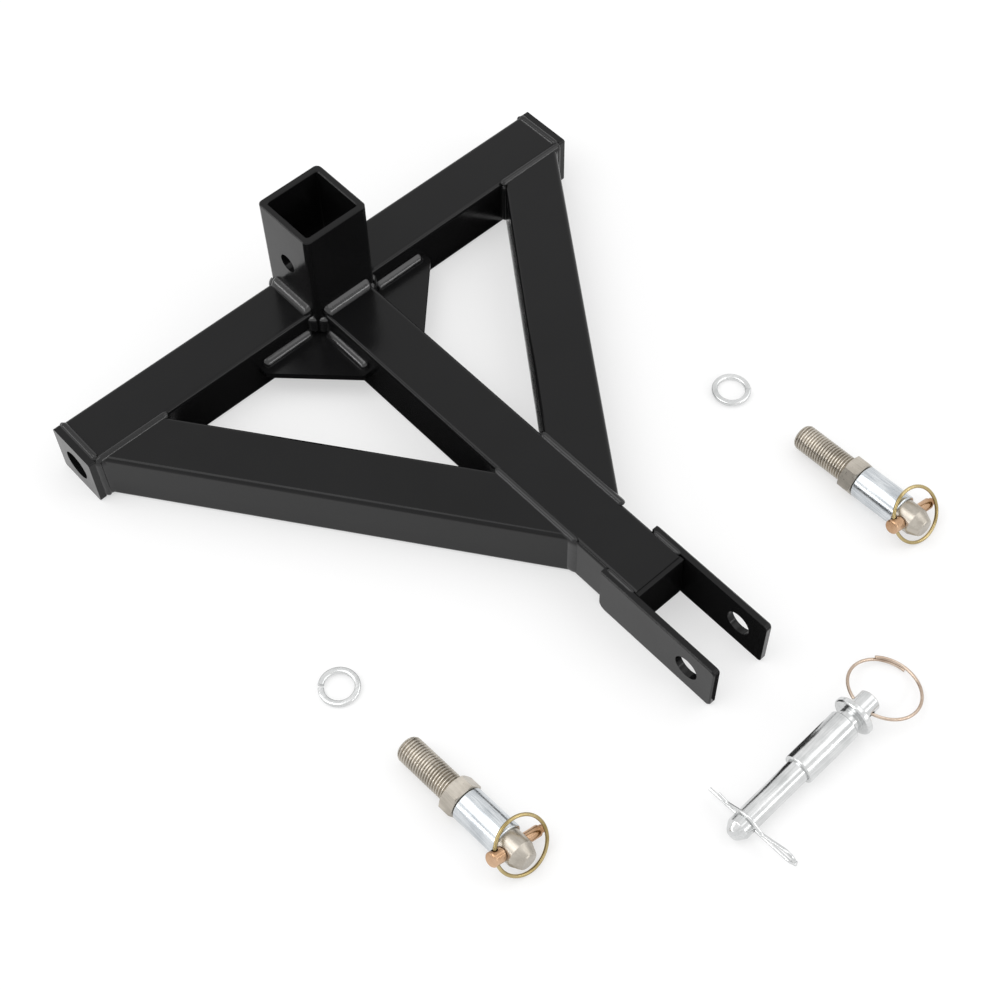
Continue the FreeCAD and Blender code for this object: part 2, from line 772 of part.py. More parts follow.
def makeHairpin():
    """A sprung wire clip in its own XZ plane: the straight leg lies on X, the other rides over the pin."""
    wire = size("$clip_wire")
    saddle = size("$top_pin_diameter / 2 + $clip_saddle_gap") + wire / 2
    loop, bend = size("$clip_loop_radius"), size("$clip_bend")
    loopX = size("$clip_loop_end") - wire / 2
    touch = wire + size("$clip_saddle_gap") / 2
    dip, neck = size("$clip_dip"), size("$clip_neck")
    front, rear = saddleAngle(dip, touch, saddle), saddleAngle(neck, touch, saddle)
    peak = saddle / math.cos((math.pi - front - rear) / 2)
    peakAngle = (math.pi - front + rear) / 2
    edges = roundedPath([
        (-size("$clip_leg"), 0, 0),
        (loopX, 0, loop * 0.98),
        (loopX, loop * 2, loop * 0.98),
        (neck, touch, bend),
        (peak * math.cos(peakAngle), peak * math.sin(peakAngle), saddle),
        (-dip, touch, bend),
        (-size("$clip_tip"), size("$clip_tip_lift"), 0),
    ])
    return sweptWire("hairpin_clip", edges, wire)


def pullRingRise():
    """How far the pull ring's wire climbs from one end to the other, so that its ends lie side by side."""
    return size("$pull_ring_wire + $pull_ring_coil_gap") * (1 + size("$pull_ring_lap_angle") / FULL_TURN)


def makePullRing():
    """A ring of wire wound a little more than once round."""
    wire, radius, rise = size("$pull_ring_wire"), size("$pull_ring_radius"), pullRingRise()
    coil = Part.makeHelix(wire + size("$pull_ring_coil_gap"), rise, radius)
    coil.translate(Vector(0, 0, -rise / 2))
    coil.rotate(Vector(0, 0, 0), Vector(0, 0, 1), size("$pull_ring_end_angle"))
    return sweptWire("pull_ring", coil.Edges, wire)


def makeWasher(hand):
    """A split spring washer: a square section wound once round with a small rise."""
    inside, width, thick = size("$washer_inside / 2"), size("$washer_width"), size("$washer_thickness")
    turn = FULL_TURN - size("$washer_gap_angle")
    rise = size("$washer_rise")
    helix = Part.makeHelix(rise * FULL_TURN / turn, rise, inside + width / 2)
    outline = ((inside, 0), (inside + width, 0), (inside + width, thick), (inside, thick), (inside, 0))
    section = Part.makePolygon([Vector(x, 0, z) for x, z in outline])
    washer = document.addObject("Part::Feature", f"{hand}_spring_washer")
    washer.Label = f"{hand}_spring_washer"
    washer.Shape = Part.Wire(helix.Edges).makePipeShell([section], True, True)
    place = Vector(size(f"${hand}_washer_x"), -size(f"${hand}_washer_y"), size("$floor_gap"))
    heading = size(f"${hand}_washer_turn_angle + $washer_gap_angle / 2")
    washer.Placement = Placement(place, Rotation(Vector(0, 0, 1), heading))
    return washer


def frameOf(x, y, z):
    """The rotation whose columns are the three directions."""
    return Rotation(FreeCAD.Matrix(x.x, y.x, z.x, 0, x.y, y.y, z.y, 0, x.z, y.z, z.z, 0, 0, 0, 0, 1))


def ringFrame(hand, tilt):
    """Directions of a lower pin that is laid with its nose raised by tilt, before it is headed."""
    roll = math.radians(size(f"${hand}_pin_roll_angle"))
    lean = math.radians(size(f"${hand}_ring_lean_angle"))
    swing = math.radians(size(f"${hand}_ring_swing_angle"))
    axis = Vector(0, -math.cos(tilt), math.sin(tilt))
    up = Vector(0, math.sin(tilt), math.cos(tilt))
    across = Vector(1, 0, 0) * math.cos(roll) - up * math.sin(roll)
    upright = Vector(1, 0, 0) * math.sin(roll) + up * math.cos(roll)
    hinge = upright * math.cos(lean) - axis * math.sin(lean)
    normal = across.cross(hinge)
    reach = across * math.cos(swing) + normal * math.sin(swing)
    return axis, across, hinge, reach


def threadRest(tilt):
    """Height of the thread's end centre when its rim touches the floor."""
    radius, bevel = size("$thread_diameter / 2"), size("$thread_bevel")
    return size("$floor_gap") + radius * math.cos(tilt) - bevel * math.sin(tilt)


def ringLow(hand, tilt):
    """Lowest point of the linch ring above the floor for a tilt of the lower pin."""
    axis, across, hinge, reach = ringFrame(hand, tilt)
    head = size("$pin_diameter / 2 + $linch_head_gap + $linch_head_length / 2")
    radius, wire = size("$linch_ring_radius"), size("$linch_ring_wire")
    middleHeight = threadRest(tilt) + axis.z * size("$linch_height") - across.z * head
    middleHeight += reach.z * (radius - ringSag(radius, size("$linch_head_diameter")))
    return middleHeight - radius * math.hypot(reach.z, hinge.z) - wire / 2


def ringSag(radius, length):
    """Half the rise of a ring's wire over the hole that it passes through."""
    return (radius - math.sqrt(radius ** 2 - (length / 2) ** 2)) / 2


def pinTilt(hand):
    low, high = 0.0, math.radians(30)
    for _ in range(60):
        tilt = (low + high) / 2
        if ringLow(hand, tilt) < size("$floor_gap"):
            low = tilt
        else:
            high = tilt
    return high


def layLowerPin(hand, made):
    tilt = pinTilt(hand)
    heading = Rotation(Vector(0, 0, 1), size(f"${hand}_pin_heading_angle"))
    axis, across, hinge, reach = [heading.multVec(direction) for direction in ringFrame(hand, tilt)]
    base = Vector(size(f"${hand}_pin_x"), -size(f"${hand}_pin_y"), threadRest(tilt))
    stud = Placement(base, frameOf(across, axis.cross(across), axis))
    made[f"{hand}_lower_pin"].Placement = stud
    made[f"{hand}_pin_bushing"].Placement = stud
    crossing = base + axis * size("$linch_height")
    made[f"{hand}_linch_pin"].Placement = Placement(crossing, frameOf(hinge, across.cross(hinge), across))
    eye = crossing - across * size("$pin_diameter / 2 + $linch_head_gap + $linch_head_length / 2")
    radius = size("$linch_ring_radius")
    centre = eye + reach * (radius - ringSag(radius, size("$linch_head_diameter")))
    made[f"{hand}_linch_ring"].Placement = Placement(centre, frameOf(reach, hinge, reach.cross(hinge)))
    print(f"{hand} lower pin: base {short(base)} axis {short(axis)} linch {short(across)}"
          f" hinge {short(hinge)} eye {short(eye)} tilt {math.degrees(tilt):.3f}")


def short(place):
    return [round(value, 5) for value in place]


def layTopPin(made):
    """The pin lies on its flange's rim and its nose; the ring leans from the stub to the floor."""
    flange, pin = size("$flange_diameter / 2"), size("$top_pin_diameter / 2")
    nose = size("$top_pin_length - $top_pin_nose_bevel * 1.4 + $stub_bevel")
    tilt = math.atan2(flange - pin, nose)
    heading = Rotation(Vector(0, 0, 1), size("$top_pin_heading_angle"))
    axis = heading.multVec(Vector(-math.cos(tilt), 0, -math.sin(tilt)))
    up = heading.multVec(Vector(-math.sin(tilt), 0, math.cos(tilt)))
    across = up.cross(axis)
    bevel = size("$stub_bevel")
    height = size("$floor_gap") + flange * math.cos(tilt) - bevel * math.sin(tilt)
    base = Vector(size("$top_pin_x"), -size("$top_pin_y"), height)
    pose = Placement(base, frameOf(across, axis.cross(across), axis))
    made["top_link_pin"].Placement = pose
    made["top_pin_sleeve"].Placement = pose
    eye = base - axis * size("$flange_thickness + $pull_ring_place")
    radius, thick = size("$pull_ring_radius"), size("$pull_ring_wire") + pullRingRise()
    reach = radius * 2 - ringSag(radius, size("$stub_diameter"))
    drop = math.asin((eye.z - thick / 2 - size("$floor_gap")) / reach)
    outward = heading.multVec(Vector(math.cos(drop), 0, -math.sin(drop)))
    side = heading.multVec(Vector(0, 1, 0))
    centre = eye + outward * (radius - ringSag(radius, size("$stub_diameter")))
    made["pull_ring"].Placement = Placement(centre, frameOf(outward, side, outward.cross(side)))
    clip = base + axis * size("$clip_place")
    made["hairpin_clip"].Placement = Placement(clip, frameOf(-side, -axis, up))
    print(f"top pin: base {short(base)} axis {short(axis)} eye {short(eye)} drop {math.degrees(drop):.3f}")


# The whole set

def makeAll():
    made = {"receiver_tube": makeReceiver(), "mast_tube": makeMast(), "mast_cap": makeMastCap()}
    for side, hand in ((-1, "left"), (1, "right")):
        made[f"{hand}_crossbar"] = makeCrossbarHalf(side, hand)
        made[f"{hand}_brace"] = makeBrace(side, hand)
        made[f"{hand}_end_plate"] = makeEndPlate(side, hand)
        made[f"{hand}_weld_nut"] = makeWeldNut(side, hand)
        made[f"{hand}_gusset"] = makeGusset(side, hand)
        made[f"{hand}_clevis_ear"] = makeEar(side, hand)
    tools = {"underside": makeUnderside()}
    for make in (makeReceiverBeads, makeGussetBeads, makeEndBeads, makeBraceBeads, makeClevisBeads):
        bead = make(made | tools)
        made[bead.Label] = bead
    clearance = "$running_clearance"
    for hand in ("left", "right"):
        made[f"{hand}_lower_pin"] = makeLowerPin(hand)
        made[f"{hand}_pin_bushing"] = makeSleeve(
            f"{hand}_pin_bushing", "$hex_end + $bushing_end_play", "$bushing_length",
            "$bushing_diameter / 2", f"$pin_diameter / 2 + {clearance}")
        made[f"{hand}_linch_pin"] = makeLinchPin(hand)
        made[f"{hand}_linch_ring"] = makeRing(f"{hand}_linch_ring", "$linch_ring_radius", "$linch_ring_wire")
        layLowerPin(hand, made)
        made[f"{hand}_spring_washer"] = makeWasher(hand)
    made["top_link_pin"] = makeTopPin()
    made["top_pin_sleeve"] = makeSleeve(
        "top_pin_sleeve", "$sleeve_place", "$sleeve_length",
        "$sleeve_diameter / 2", f"$top_pin_diameter / 2 + {clearance}")
    made["pull_ring"] = makePullRing()
    made["hairpin_clip"] = makeHairpin()
    layTopPin(made)
    document.recompute()
    return made


def export(made):
    for item in document.Objects:
        if "Invalid" in item.State or "Error" in item.State:
            raise ValueError(f"{item.Label} failed: {item.State}")
    for name, item in made.items():
        if item.Shape.isNull() or not item.Shape.isValid():
            raise ValueError(f"{name} has no valid shape")
    os.makedirs("parts", exist_ok=True)
    for name, item in made.items():
        item.Shape.exportStep(f"parts/{name}.step")


export(makeAll())
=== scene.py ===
import json
import math
from functools import partial
import bmesh
import bpy
from mathutils import Matrix, Quaternion, Vector


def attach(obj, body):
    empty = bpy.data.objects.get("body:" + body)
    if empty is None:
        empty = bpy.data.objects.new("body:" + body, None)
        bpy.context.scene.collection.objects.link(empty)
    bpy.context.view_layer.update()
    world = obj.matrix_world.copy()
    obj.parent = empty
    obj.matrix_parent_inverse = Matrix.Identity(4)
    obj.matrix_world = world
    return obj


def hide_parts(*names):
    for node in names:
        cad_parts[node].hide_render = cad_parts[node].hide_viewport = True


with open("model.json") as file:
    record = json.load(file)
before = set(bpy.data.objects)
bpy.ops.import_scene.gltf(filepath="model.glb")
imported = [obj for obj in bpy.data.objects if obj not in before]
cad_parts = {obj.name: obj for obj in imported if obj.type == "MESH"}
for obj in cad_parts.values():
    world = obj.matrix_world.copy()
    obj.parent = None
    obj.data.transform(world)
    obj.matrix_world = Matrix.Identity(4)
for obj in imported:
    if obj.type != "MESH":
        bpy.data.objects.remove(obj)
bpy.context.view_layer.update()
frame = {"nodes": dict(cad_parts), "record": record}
cadNodes = frame["nodes"]
mm = 0.001  # the dictionaries' lengths and places are in mm, apart from the node trees' inputs
print("frame loaded with", len(cadNodes), "nodes")


def addObject(name, data):
    item = bpy.data.objects.new(name, data)
    bpy.context.collection.objects.link(item)
    return item


# camera, at the photograph's place and angle

cameraSetup = {
    "lens": 64.32, "sensor": 36, "nearest": 50, "farthest": 20000,
    "place": (-535.5, -836.4, 1197.9),
    "azimuth": -40.739, "elevation": 56.633, "roll": -1.826,
}


def makeCamera(setup):
    data = bpy.data.cameras.new("photoCamera")
    data.lens, data.sensor_width = setup["lens"], setup["sensor"]
    data.clip_start, data.clip_end = setup["nearest"] * mm, setup["farthest"] * mm
    camera = addObject("photoCamera", data)
    heading, rise = math.radians(setup["azimuth"]), math.radians(setup["elevation"])
    back = Vector((math.sin(heading) * math.cos(rise), -math.cos(heading) * math.cos(rise), math.sin(rise)))
    roll = Quaternion((0, 0, 1), math.radians(setup["roll"]))
    camera.rotation_mode = "QUATERNION"
    camera.location = Vector(setup["place"]) * mm
    camera.rotation_quaternion = back.to_track_quat("Z", "Y") @ roll
    bpy.context.scene.camera = camera


makeCamera(cameraSetup)
print("camera placed")


# nodes, which stand in rows on the editor's left, in the order in which they are made

nodeGrid = {"columns": 8, "across": 220, "down": 320}


def addNode(tree, kind, inputs=(), **settings):
    # each input takes a plain value or another node's output
    row, column = divmod(len(tree.nodes), nodeGrid["columns"])
    node = tree.nodes.new(kind)
    node.location = ((column - nodeGrid["columns"]) * nodeGrid["across"], -row * nodeGrid["down"])
    for name, value in settings.items():
        setattr(node, name, value)
    for name, value in dict(inputs).items():
        if isinstance(value, bpy.types.NodeSocket):
            tree.links.new(value, node.inputs[name])
        else:
            node.inputs[name].default_value = value
    return node


def calc(tree, operation, *values):
    return addNode(tree, "ShaderNodeMath", enumerate(values), operation=operation).outputs[0]


def addRange(tree, value, fromEnds, toEnds):
    return addNode(tree, "ShaderNodeMapRange", {
        "Value": value, "From Min": fromEnds[0], "From Max": fromEnds[1],
        "To Min": toEnds[0], "To Max": toEnds[1],
    }).outputs["Result"]


def addSeenRays(tree):
    # 1 for the rays that show the background: the camera's own, and those through metal and glass
    rays = addNode(tree, "ShaderNodeLightPath").outputs
    seen = calc(tree, "MAXIMUM", rays["Is Camera Ray"], rays["Is Glossy Ray"])
    return calc(tree, "MAXIMUM", seen, rays["Is Transmission Ray"])


def mixShaders(tree, share, first, second, end):
    mix = addNode(tree, "ShaderNodeMixShader", enumerate((share, first, second)))
    tree.links.new(mix.outputs[0], end.inputs["Surface"])


def startMaterial(name, values):
    material = bpy.data.materials.new(name)
    material.use_nodes = True
    tree = material.node_tree
    shader = tree.nodes["Principled BSDF"]
    for socket, value in values.items():
        shader.inputs[socket].default_value = value
    return material, tree, shader


# floor, lamps and world

studio = {
    "floorSize": 40000, "floorColour": (0.95, 0.95, 0.95), "floorRoughness": 0.85, "floorGloss": 0.1,
    "floorGlow": 0.5, "glowStart": 900, "glowEnd": 3500,  # from start to end the floor fades to plain white
    # the shade flags' dark colour is painted shade, seen only in reflections
    "shadeFlagColour": (0.02, 0.02, 0.02), "shadeFlagRoughness": 0.9, "shadeFlagHeight": 0.25,
    "worldLight": 0.78,
    "target": (0, -250, 0),
    # name: place, width, height and power; the low strips draw the bright lines along the tubes' edges
    "lamps": {
        "keyLamp": ((-900, 300, 2300), 1800, 1800, 18),
        "fillLamp": ((1300, -900, 1800), 1600, 1600, 7),
        "frontStrip": ((900, -2300, 1050), 1900, 260, 7),
        "sideStrip": ((-2050, 750, 900), 1900, 260, 7),
    },
}

# painted shade: dark sheets on the floor inside the frame; only gloss sees them, so the tubes' inner sides
# show a painted dark reflection
shadeFlagOutlines = {
    "leftShadeFlag": ((-184, -25.2), (-25.2, -25.2), (-25.2, -247)),
    "rightShadeFlag": ((184, -25.2), (25.2, -247), (25.2, -25.2)),
    "clevisShadeFlag": ((-24.9, -400.1), (-24.9, -545), (24.9, -545), (24.9, -400.1)),
}


def layFlat(name, outline, height, material):
    mesh = bpy.data.meshes.new(name)
    mesh.from_pydata([(x * mm, y * mm, height * mm) for x, y in outline], [], [tuple(range(len(outline)))])
    mesh.materials.append(material)
    flat = addObject(name, mesh)
    return flat


def makeFloorMaterial(setup):
    # the glow keeps the floor near white while it still takes the object's shadow
    material, tree, shader = startMaterial("paleFloor", {
        "Base Color": (*setup["floorColour"], 1),
        "Roughness": setup["floorRoughness"],
        "Specular IOR Level": setup["floorGloss"],
    })
    where = addNode(tree, "ShaderNodeTexCoord").outputs["Object"]
    away = addNode(tree, "ShaderNodeVectorMath", {0: where}, operation="LENGTH").outputs["Value"]
    glow = addRange(tree, away, (setup["glowStart"] * mm, setup["glowEnd"] * mm), (setup["floorGlow"], 1))
    share = calc(tree, "MULTIPLY", addSeenRays(tree), glow)
    white = addNode(tree, "ShaderNodeEmission")
    mixShaders(tree, share, shader.outputs[0], white.outputs[0], tree.nodes["Material Output"])
    return material


def makeFloor(setup):
    half = setup["floorSize"] / 2
    corners = (-half, -half), (half, -half), (half, half), (-half, half)
    layFlat("floor", corners, 0, makeFloorMaterial(setup))


# a shade flag is painted shade: a dark sheet hidden from camera, diffuse and shadow rays, which only
# darkens reflections
def makeShadeFlag(name, outline, setup):
    colour = (*setup["shadeFlagColour"], 1)
    material = startMaterial(name, {"Base Color": colour, "Roughness": setup["shadeFlagRoughness"]})[0]
    shadeFlag = layFlat(name, outline, setup["shadeFlagHeight"], material)
    for rays in ("camera", "diffuse", "transmission", "volume_scatter", "shadow"):
        setattr(shadeFlag, "visible_" + rays, False)


def makeLamp(name, target, place, width, height, power):
    data = bpy.data.lights.new(name, "AREA")
    data.energy = power
    data.shape = "RECTANGLE"
    data.size, data.size_y = width * mm, height * mm
    lamp = addObject(name, data)
    lamp.location = Vector(place) * mm
    lamp.rotation_mode = "QUATERNION"
    lamp.rotation_quaternion = (Vector(place) - Vector(target)).to_track_quat("Z", "Y")


def makeWorld(setup):
    world = bpy.data.worlds.new("studio")
    bpy.context.scene.world = world
    world.use_nodes = True
    tree = world.node_tree
    tree.nodes.clear()
    white = (1, 1, 1, 1)
    light = addNode(tree, "ShaderNodeBackground", {"Color": white, "Strength": setup["worldLight"]})
    backdrop = addNode(tree, "ShaderNodeBackground", {"Color": white})
    end = addNode(tree, "ShaderNodeOutputWorld")
    mixShaders(tree, addSeenRays(tree), light.outputs[0], backdrop.outputs[0], end)


for shadeFlagName, shadeFlagOutline in shadeFlagOutlines.items():
    makeShadeFlag(shadeFlagName, shadeFlagOutline, studio)
makeFloor(studio)
makeWorld(studio)
for lampName, lampSetup in studio["lamps"].items():
    makeLamp(lampName, studio["target"], *lampSetup)
bpy.context.scene.view_settings.view_transform = "Standard"
print("studio lit")


# finishes

noiseSpread = (0.3, 0.7)  # where most of a noise texture's values lie
plainRoughness = 0.25  # the shader's own value, under the noise that drives it


def addNoise(tree, vector, scale, detail):
    sizes = {"Vector": vector, "Scale": scale, "Detail": detail}
    return addNode(tree, "ShaderNodeTexNoise", sizes).outputs["Fac"]


def addColours(tree, value, first, second):
    ends = {"Factor": value, "A": (*first, 1), "B": (*second, 1)}
    return addNode(tree, "ShaderNodeMix", ends, data_type="RGBA").outputs["Result"]


def addBump(tree, height, distance, strength):
    sizes = {"Height": height, "Distance": distance * mm, "Strength": strength}
    return addNode(tree, "ShaderNodeBump", sizes).outputs["Normal"]


blackPaint = {
    "dark": (0.003, 0.003, 0.0032), "light": (0.007, 0.007, 0.0073),
    "cloudScale": 9, "cloudDetail": 4,
    "rough": (0.13, 0.24), "smearScale": 45, "smearDetail": 6,
    "gloss": 0.22,
    "peelScale": 420, "peelDetail": 2, "peelDepth": 0.1, "peelStrength": 0.5,
}

# painted highlight: the weld beads' base colour is lighter than the frame's black paint, and they are
# glossier, so that they look brighter
highlitWeldPaint = {
    **blackPaint, "dark": (0.005, 0.005, 0.0053), "light": (0.012, 0.012, 0.0124),
    "rough": (0.1, 0.2), "gloss": 0.7, "peelScale": 260, "peelDepth": 0.2,
}


def makeBlackPaint(name, setup):
    plain = {"Roughness": plainRoughness, "Specular IOR Level": setup["gloss"]}
    material, tree, shader = startMaterial(name, plain)
    where = addNode(tree, "ShaderNodeTexCoord").outputs["Object"]
    clouds = addNoise(tree, where, setup["cloudScale"], setup["cloudDetail"])
    smears = addNoise(tree, where, setup["smearScale"], setup["smearDetail"])
    peel = addNoise(tree, where, setup["peelScale"], setup["peelDetail"])
    colour = addColours(tree, clouds, setup["dark"], setup["light"])
    rough = addRange(tree, smears, noiseSpread, setup["rough"])
    bumps = addBump(tree, peel, setup["peelDepth"], setup["peelStrength"])
    for socket, source in (("Base Color", colour), ("Roughness", rough), ("Normal", bumps)):
        tree.links.new(source, shader.inputs[socket])
    return material


# the lower pins lie along Y and the top pin along X, and the grain of drawn steel follows them
alongY, alongX = (900, 20, 900), (20, 900, 900)
plating = {
    "studNickel": {
        "dark": (0.36, 0.33, 0.285), "light": (0.54, 0.5, 0.44),
        "rough": (0.27, 0.4), "streak": 0.3, "grain": alongY,
    },
    "brightZinc": {
        "dark": (0.42, 0.45, 0.48), "light": (0.72, 0.745, 0.765),
        "rough": (0.17, 0.29), "streak": 0.6, "grain": alongY,
    },
    "yellowZinc": {
        "dark": (0.36, 0.2, 0.1), "light": (0.64, 0.43, 0.28),
        "rough": (0.14, 0.28), "streak": 0.1, "grain": alongX,
    },
    "ringGold": {
        "dark": (0.3, 0.225, 0.09), "light": (0.52, 0.42, 0.22),
        "rough": (0.16, 0.28), "streak": 0.1, "grain": alongY,
    },
    "ringCopper": {
        "dark": (0.4, 0.3, 0.23), "light": (0.62, 0.51, 0.42),
        "rough": (0.16, 0.28), "streak": 0.1, "grain": alongY,
    },
    "silverZinc": {
        "dark": (0.54, 0.55, 0.55), "light": (0.75, 0.755, 0.755),
        "rough": (0.14, 0.25), "streak": 0.4, "grain": alongX,
    },
    "nutSteel": {
        "dark": (0.24, 0.23, 0.22), "light": (0.36, 0.35, 0.34),
        "rough": (0.35, 0.5), "streak": 0.2, "grain": alongY,
    },
}
platingPattern = {
    "cloudScale": 60, "cloudDetail": 5, "streakScale": 1, "streakDetail": 3, "blendSpread": (0.34, 0.62),
    "grainScale": 900, "grainDetail": 3, "grainDepth": 0.01, "grainStrength": 0.15,
}


def makePlating(name, setup, pattern):
    material, tree, shader = startMaterial(name, {"Roughness": plainRoughness, "Metallic": 1})
    where = addNode(tree, "ShaderNodeTexCoord").outputs["Object"]
    drawn = addNode(tree, "ShaderNodeMapping", {"Vector": where, "Scale": setup["grain"]}).outputs["Vector"]
    clouds = addNoise(tree, where, pattern["cloudScale"], pattern["cloudDetail"])
    streaks = addNoise(tree, drawn, pattern["streakScale"], pattern["streakDetail"])
    grain = addNoise(tree, where, pattern["grainScale"], pattern["grainDetail"])
    blend = addNode(tree, "ShaderNodeMix", {"Factor": setup["streak"], "A": clouds, "B": streaks})
    spread = addRange(tree, blend.outputs["Result"], pattern["blendSpread"], (0, 1))
    colour = addColours(tree, spread, setup["dark"], setup["light"])
    rough = addRange(tree, grain, noiseSpread, setup["rough"])
    bumps = addBump(tree, grain, pattern["grainDepth"], pattern["grainStrength"])
    for socket, source in (("Base Color", colour), ("Roughness", rough), ("Normal", bumps)):
        tree.links.new(source, shader.inputs[socket])
    return material


# the seam copy keeps the beads' lighter, painted highlight colour with less gloss
paints = {"blackPaint": blackPaint, "highlitWeldPaint": highlitWeldPaint, "highlitSeamPaint": {**highlitWeldPaint, "gloss": 0.4}}
finishes = {name: makeBlackPaint(name, setup) for name, setup in paints.items()}
finishes.update({name: makePlating(name, setup, platingPattern) for name, setup in plating.items()})

slotFinish = {
    "black_paint": "blackPaint",
    "nut_steel": "nutSteel",
    "stud_nickel": "studNickel",
    "bright_zinc": "brightZinc",
    "yellow_zinc": "yellowZinc",
    "ring_gold": "ringGold",
    "ring_copper": "ringCopper",
    "silver_zinc": "silverZinc",
}


def paintCadNodes():
    for part in frame["record"]["subparts"]:
        for slot in cadNodes[part["node"]].material_slots:
            slot.material = finishes[slotFinish[part["material_slot"]]]


paintCadNodes()
print("finishes laid on")


# shapes shared by the pieces

meshRules = {"doubles": 0.001, "slivers": 0.0001}
sharpAngles = {"edges": 35, "welds": 50, "wires": 60}  # in degrees; flatter edges than these are smooth
upZ = Vector((0, 0, 1))


def newPiece(name, mesh, node, body, slot, finish=None):
    mesh.name = name
    mesh.materials.clear()
    mesh.materials.append(finishes[finish or slotFinish[slot]])
    piece = addObject(name, mesh)
    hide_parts(node)
    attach(piece, body)


def meshFrom(points, faces):
    mesh = bpy.data.meshes.new("shape")
    mesh.from_pydata([tuple(point) for point in points], [], faces)
    return mesh


def polar(radius, angle):
    return radius * math.cos(angle), radius * math.sin(angle)


def turn(outline, columns=128, closed=False):
    # a turned solid about Z from (radius, height) pairs; a radius of 0 closes to a pole
    points, rings, faces = [], [], []
    for radius, height in outline:
        count = columns if radius else 1
        rings.append(range(len(points), len(points) + count))
        for column in range(count):
            points.append((*polar(radius * mm, math.tau * column / columns), height * mm))
    for low, high in zip(rings, rings[1:] + (rings[:1] if closed else [])):
        for column in range(columns):
            after = (column + 1) % columns
            corners = (low, column), (low, after), (high, after), (high, column)
            faces.append(list(dict.fromkeys(ring[place % len(ring)] for ring, place in corners)))
    return meshFrom(points, faces)


def prism(corners, low, high):
    count = len(corners)
    points = [(x * mm, y * mm, height * mm) for height in (low, high) for x, y in corners]
    faces = [list(range(count))[::-1], list(range(count, 2 * count))]
    for index in range(count):
        after = (index + 1) % count
        faces.append([index, after, after + count, index + count])
    return meshFrom(points, faces)


def sweep(path, section, upright, closed=False):
    # carries a closed flat section along a path; the section's second axis stays near upright
    count, around = len(path), len(section)
    points, faces = [], []
    for index, place in enumerate(path):
        before = path[index - 1] if index or closed else place
        after = path[(index + 1) % count] if index < count - 1 or closed else place
        ahead = (after - before).normalized()
        side = upright.cross(ahead).normalized()
        lift = ahead.cross(side)
        points += [place + side * x + lift * y for x, y in section]
    for index in range(count if closed else count - 1):
        here, there = index * around, (index + 1) % count * around
        for step in range(around):
            after = (step + 1) % around
            faces.append([here + step, here + after, there + after, there + step])
    if not closed:
        faces += [list(range(around))[::-1], list(range((count - 1) * around, count * around))]
    return meshFrom(points, faces)


def roundSection(radius, sides=20):
    return [polar(radius * mm, math.tau * step / sides) for step in range(sides)]


def crisp(mesh, sharpAngle=sharpAngles["edges"]):
    # smooth faces, with the real edges kept sharp
    mesh.shade_smooth()
    mesh.set_sharp_from_angle(angle=math.radians(sharpAngle))
    return mesh


def tidyMesh(mesh, sharpAngle=sharpAngles["edges"]):
    # merges doubles, drops slivers and points the faces outward
    work = bmesh.new()
    work.from_mesh(mesh)
    bmesh.ops.remove_doubles(work, verts=work.verts, dist=meshRules["doubles"] * mm)
    bmesh.ops.dissolve_degenerate(work, edges=work.edges, dist=meshRules["slivers"] * mm)
    bmesh.ops.recalc_face_normals(work, faces=work.faces)
    work.to_mesh(mesh)
    work.free()
    return crisp(mesh, sharpAngle)


def plainMesh(item):
    # what the object's modifiers make of it
    return bpy.data.meshes.new_from_object(item.evaluated_get(bpy.context.evaluated_depsgraph_get()))


def cutWith(mesh, tool, operation="DIFFERENCE"):
    work, knife = addObject("work", tidyMesh(mesh)), addObject("knife", tidyMesh(tool))
    change = work.modifiers.new("cut", "BOOLEAN")
    change.operation, change.solver, change.object = operation, "EXACT", knife
    result = plainMesh(work)
    for item in (work, knife):
        bpy.data.objects.remove(item)
    return tidyMesh(result)


def joined(meshes):
    work = bmesh.new()
    for mesh in meshes:
        work.from_mesh(mesh)
    result = bpy.data.meshes.new("shape")
    work.to_mesh(result)
    work.free()
    return crisp(result)


def laidAt(mesh, base, axis, across):
    # local Z along axis and local X along across, with the origin at base
    zAxis = Vector(axis).normalized()
    xAxis = (Vector(across) - zAxis * Vector(across).dot(zAxis)).normalized()
    yAxis = zAxis.cross(xAxis)
    matrix = Matrix((xAxis, yAxis, zAxis)).transposed().to_4x4()
    matrix.translation = Vector(base) * mm
    mesh.transform(matrix)
    return mesh


def coil(radius, turned, steps, start=0, low=0, rise=0):
    # points of an arc about Z, turned and start in degrees, which climbs from low by rise
    path = []
    for step in range(steps + 1):
        x, y = polar(radius, math.radians(start + turned * step / steps))
        path.append(Vector((x, y, low + rise * step / steps)) * mm)
    return path


def wireAlong(path, wire, upright=upZ, closed=False):
    return tidyMesh(sweep(path, roundSection(wire / 2), upright, closed), sharpAngles["wires"])


def ringSag(radius, length):
    # half the rise of a ring's arc over this length, so that its wire lies midway in a straight hole
    return (radius - math.sqrt(radius ** 2 - (length / 2) ** 2)) / 2


# Geometry Nodes trees for the weld beads and the screw threads; lengths in their inputs are in metres

weldBead = {
    "Station Spacing": 0.0007, "Profile Points": 20, "Cap Length": 0.0045, "Sink": 0.0008,
    "Ripple Height": 0.00006, "Ripple Length": 0.0021, "Ripple Shift": 0.01,
    "Wander": 0.1, "Wander Scale": 120.0, "Seed": 7.0,
}

screwThread = {
    "Length": 0.05, "Pitch": 0.0025, "Crest Radius": 0.011, "Root Radius": 0.0095,
    "Root Flat": 0.08, "Flank": 0.56,  # as shares of half a pitch
    "Lead Length": 0.004, "Lead Depth": 0.0024, "Runout Length": 0.0015,
    "End Slack": 0.3,  # in turns
    "Columns": 73, "Rows": 230, "Merge Distance": 0.000002,
}
extraTurns, turnsBefore = 2, 1.5  # how many turns the grid has more than the thread, and before it


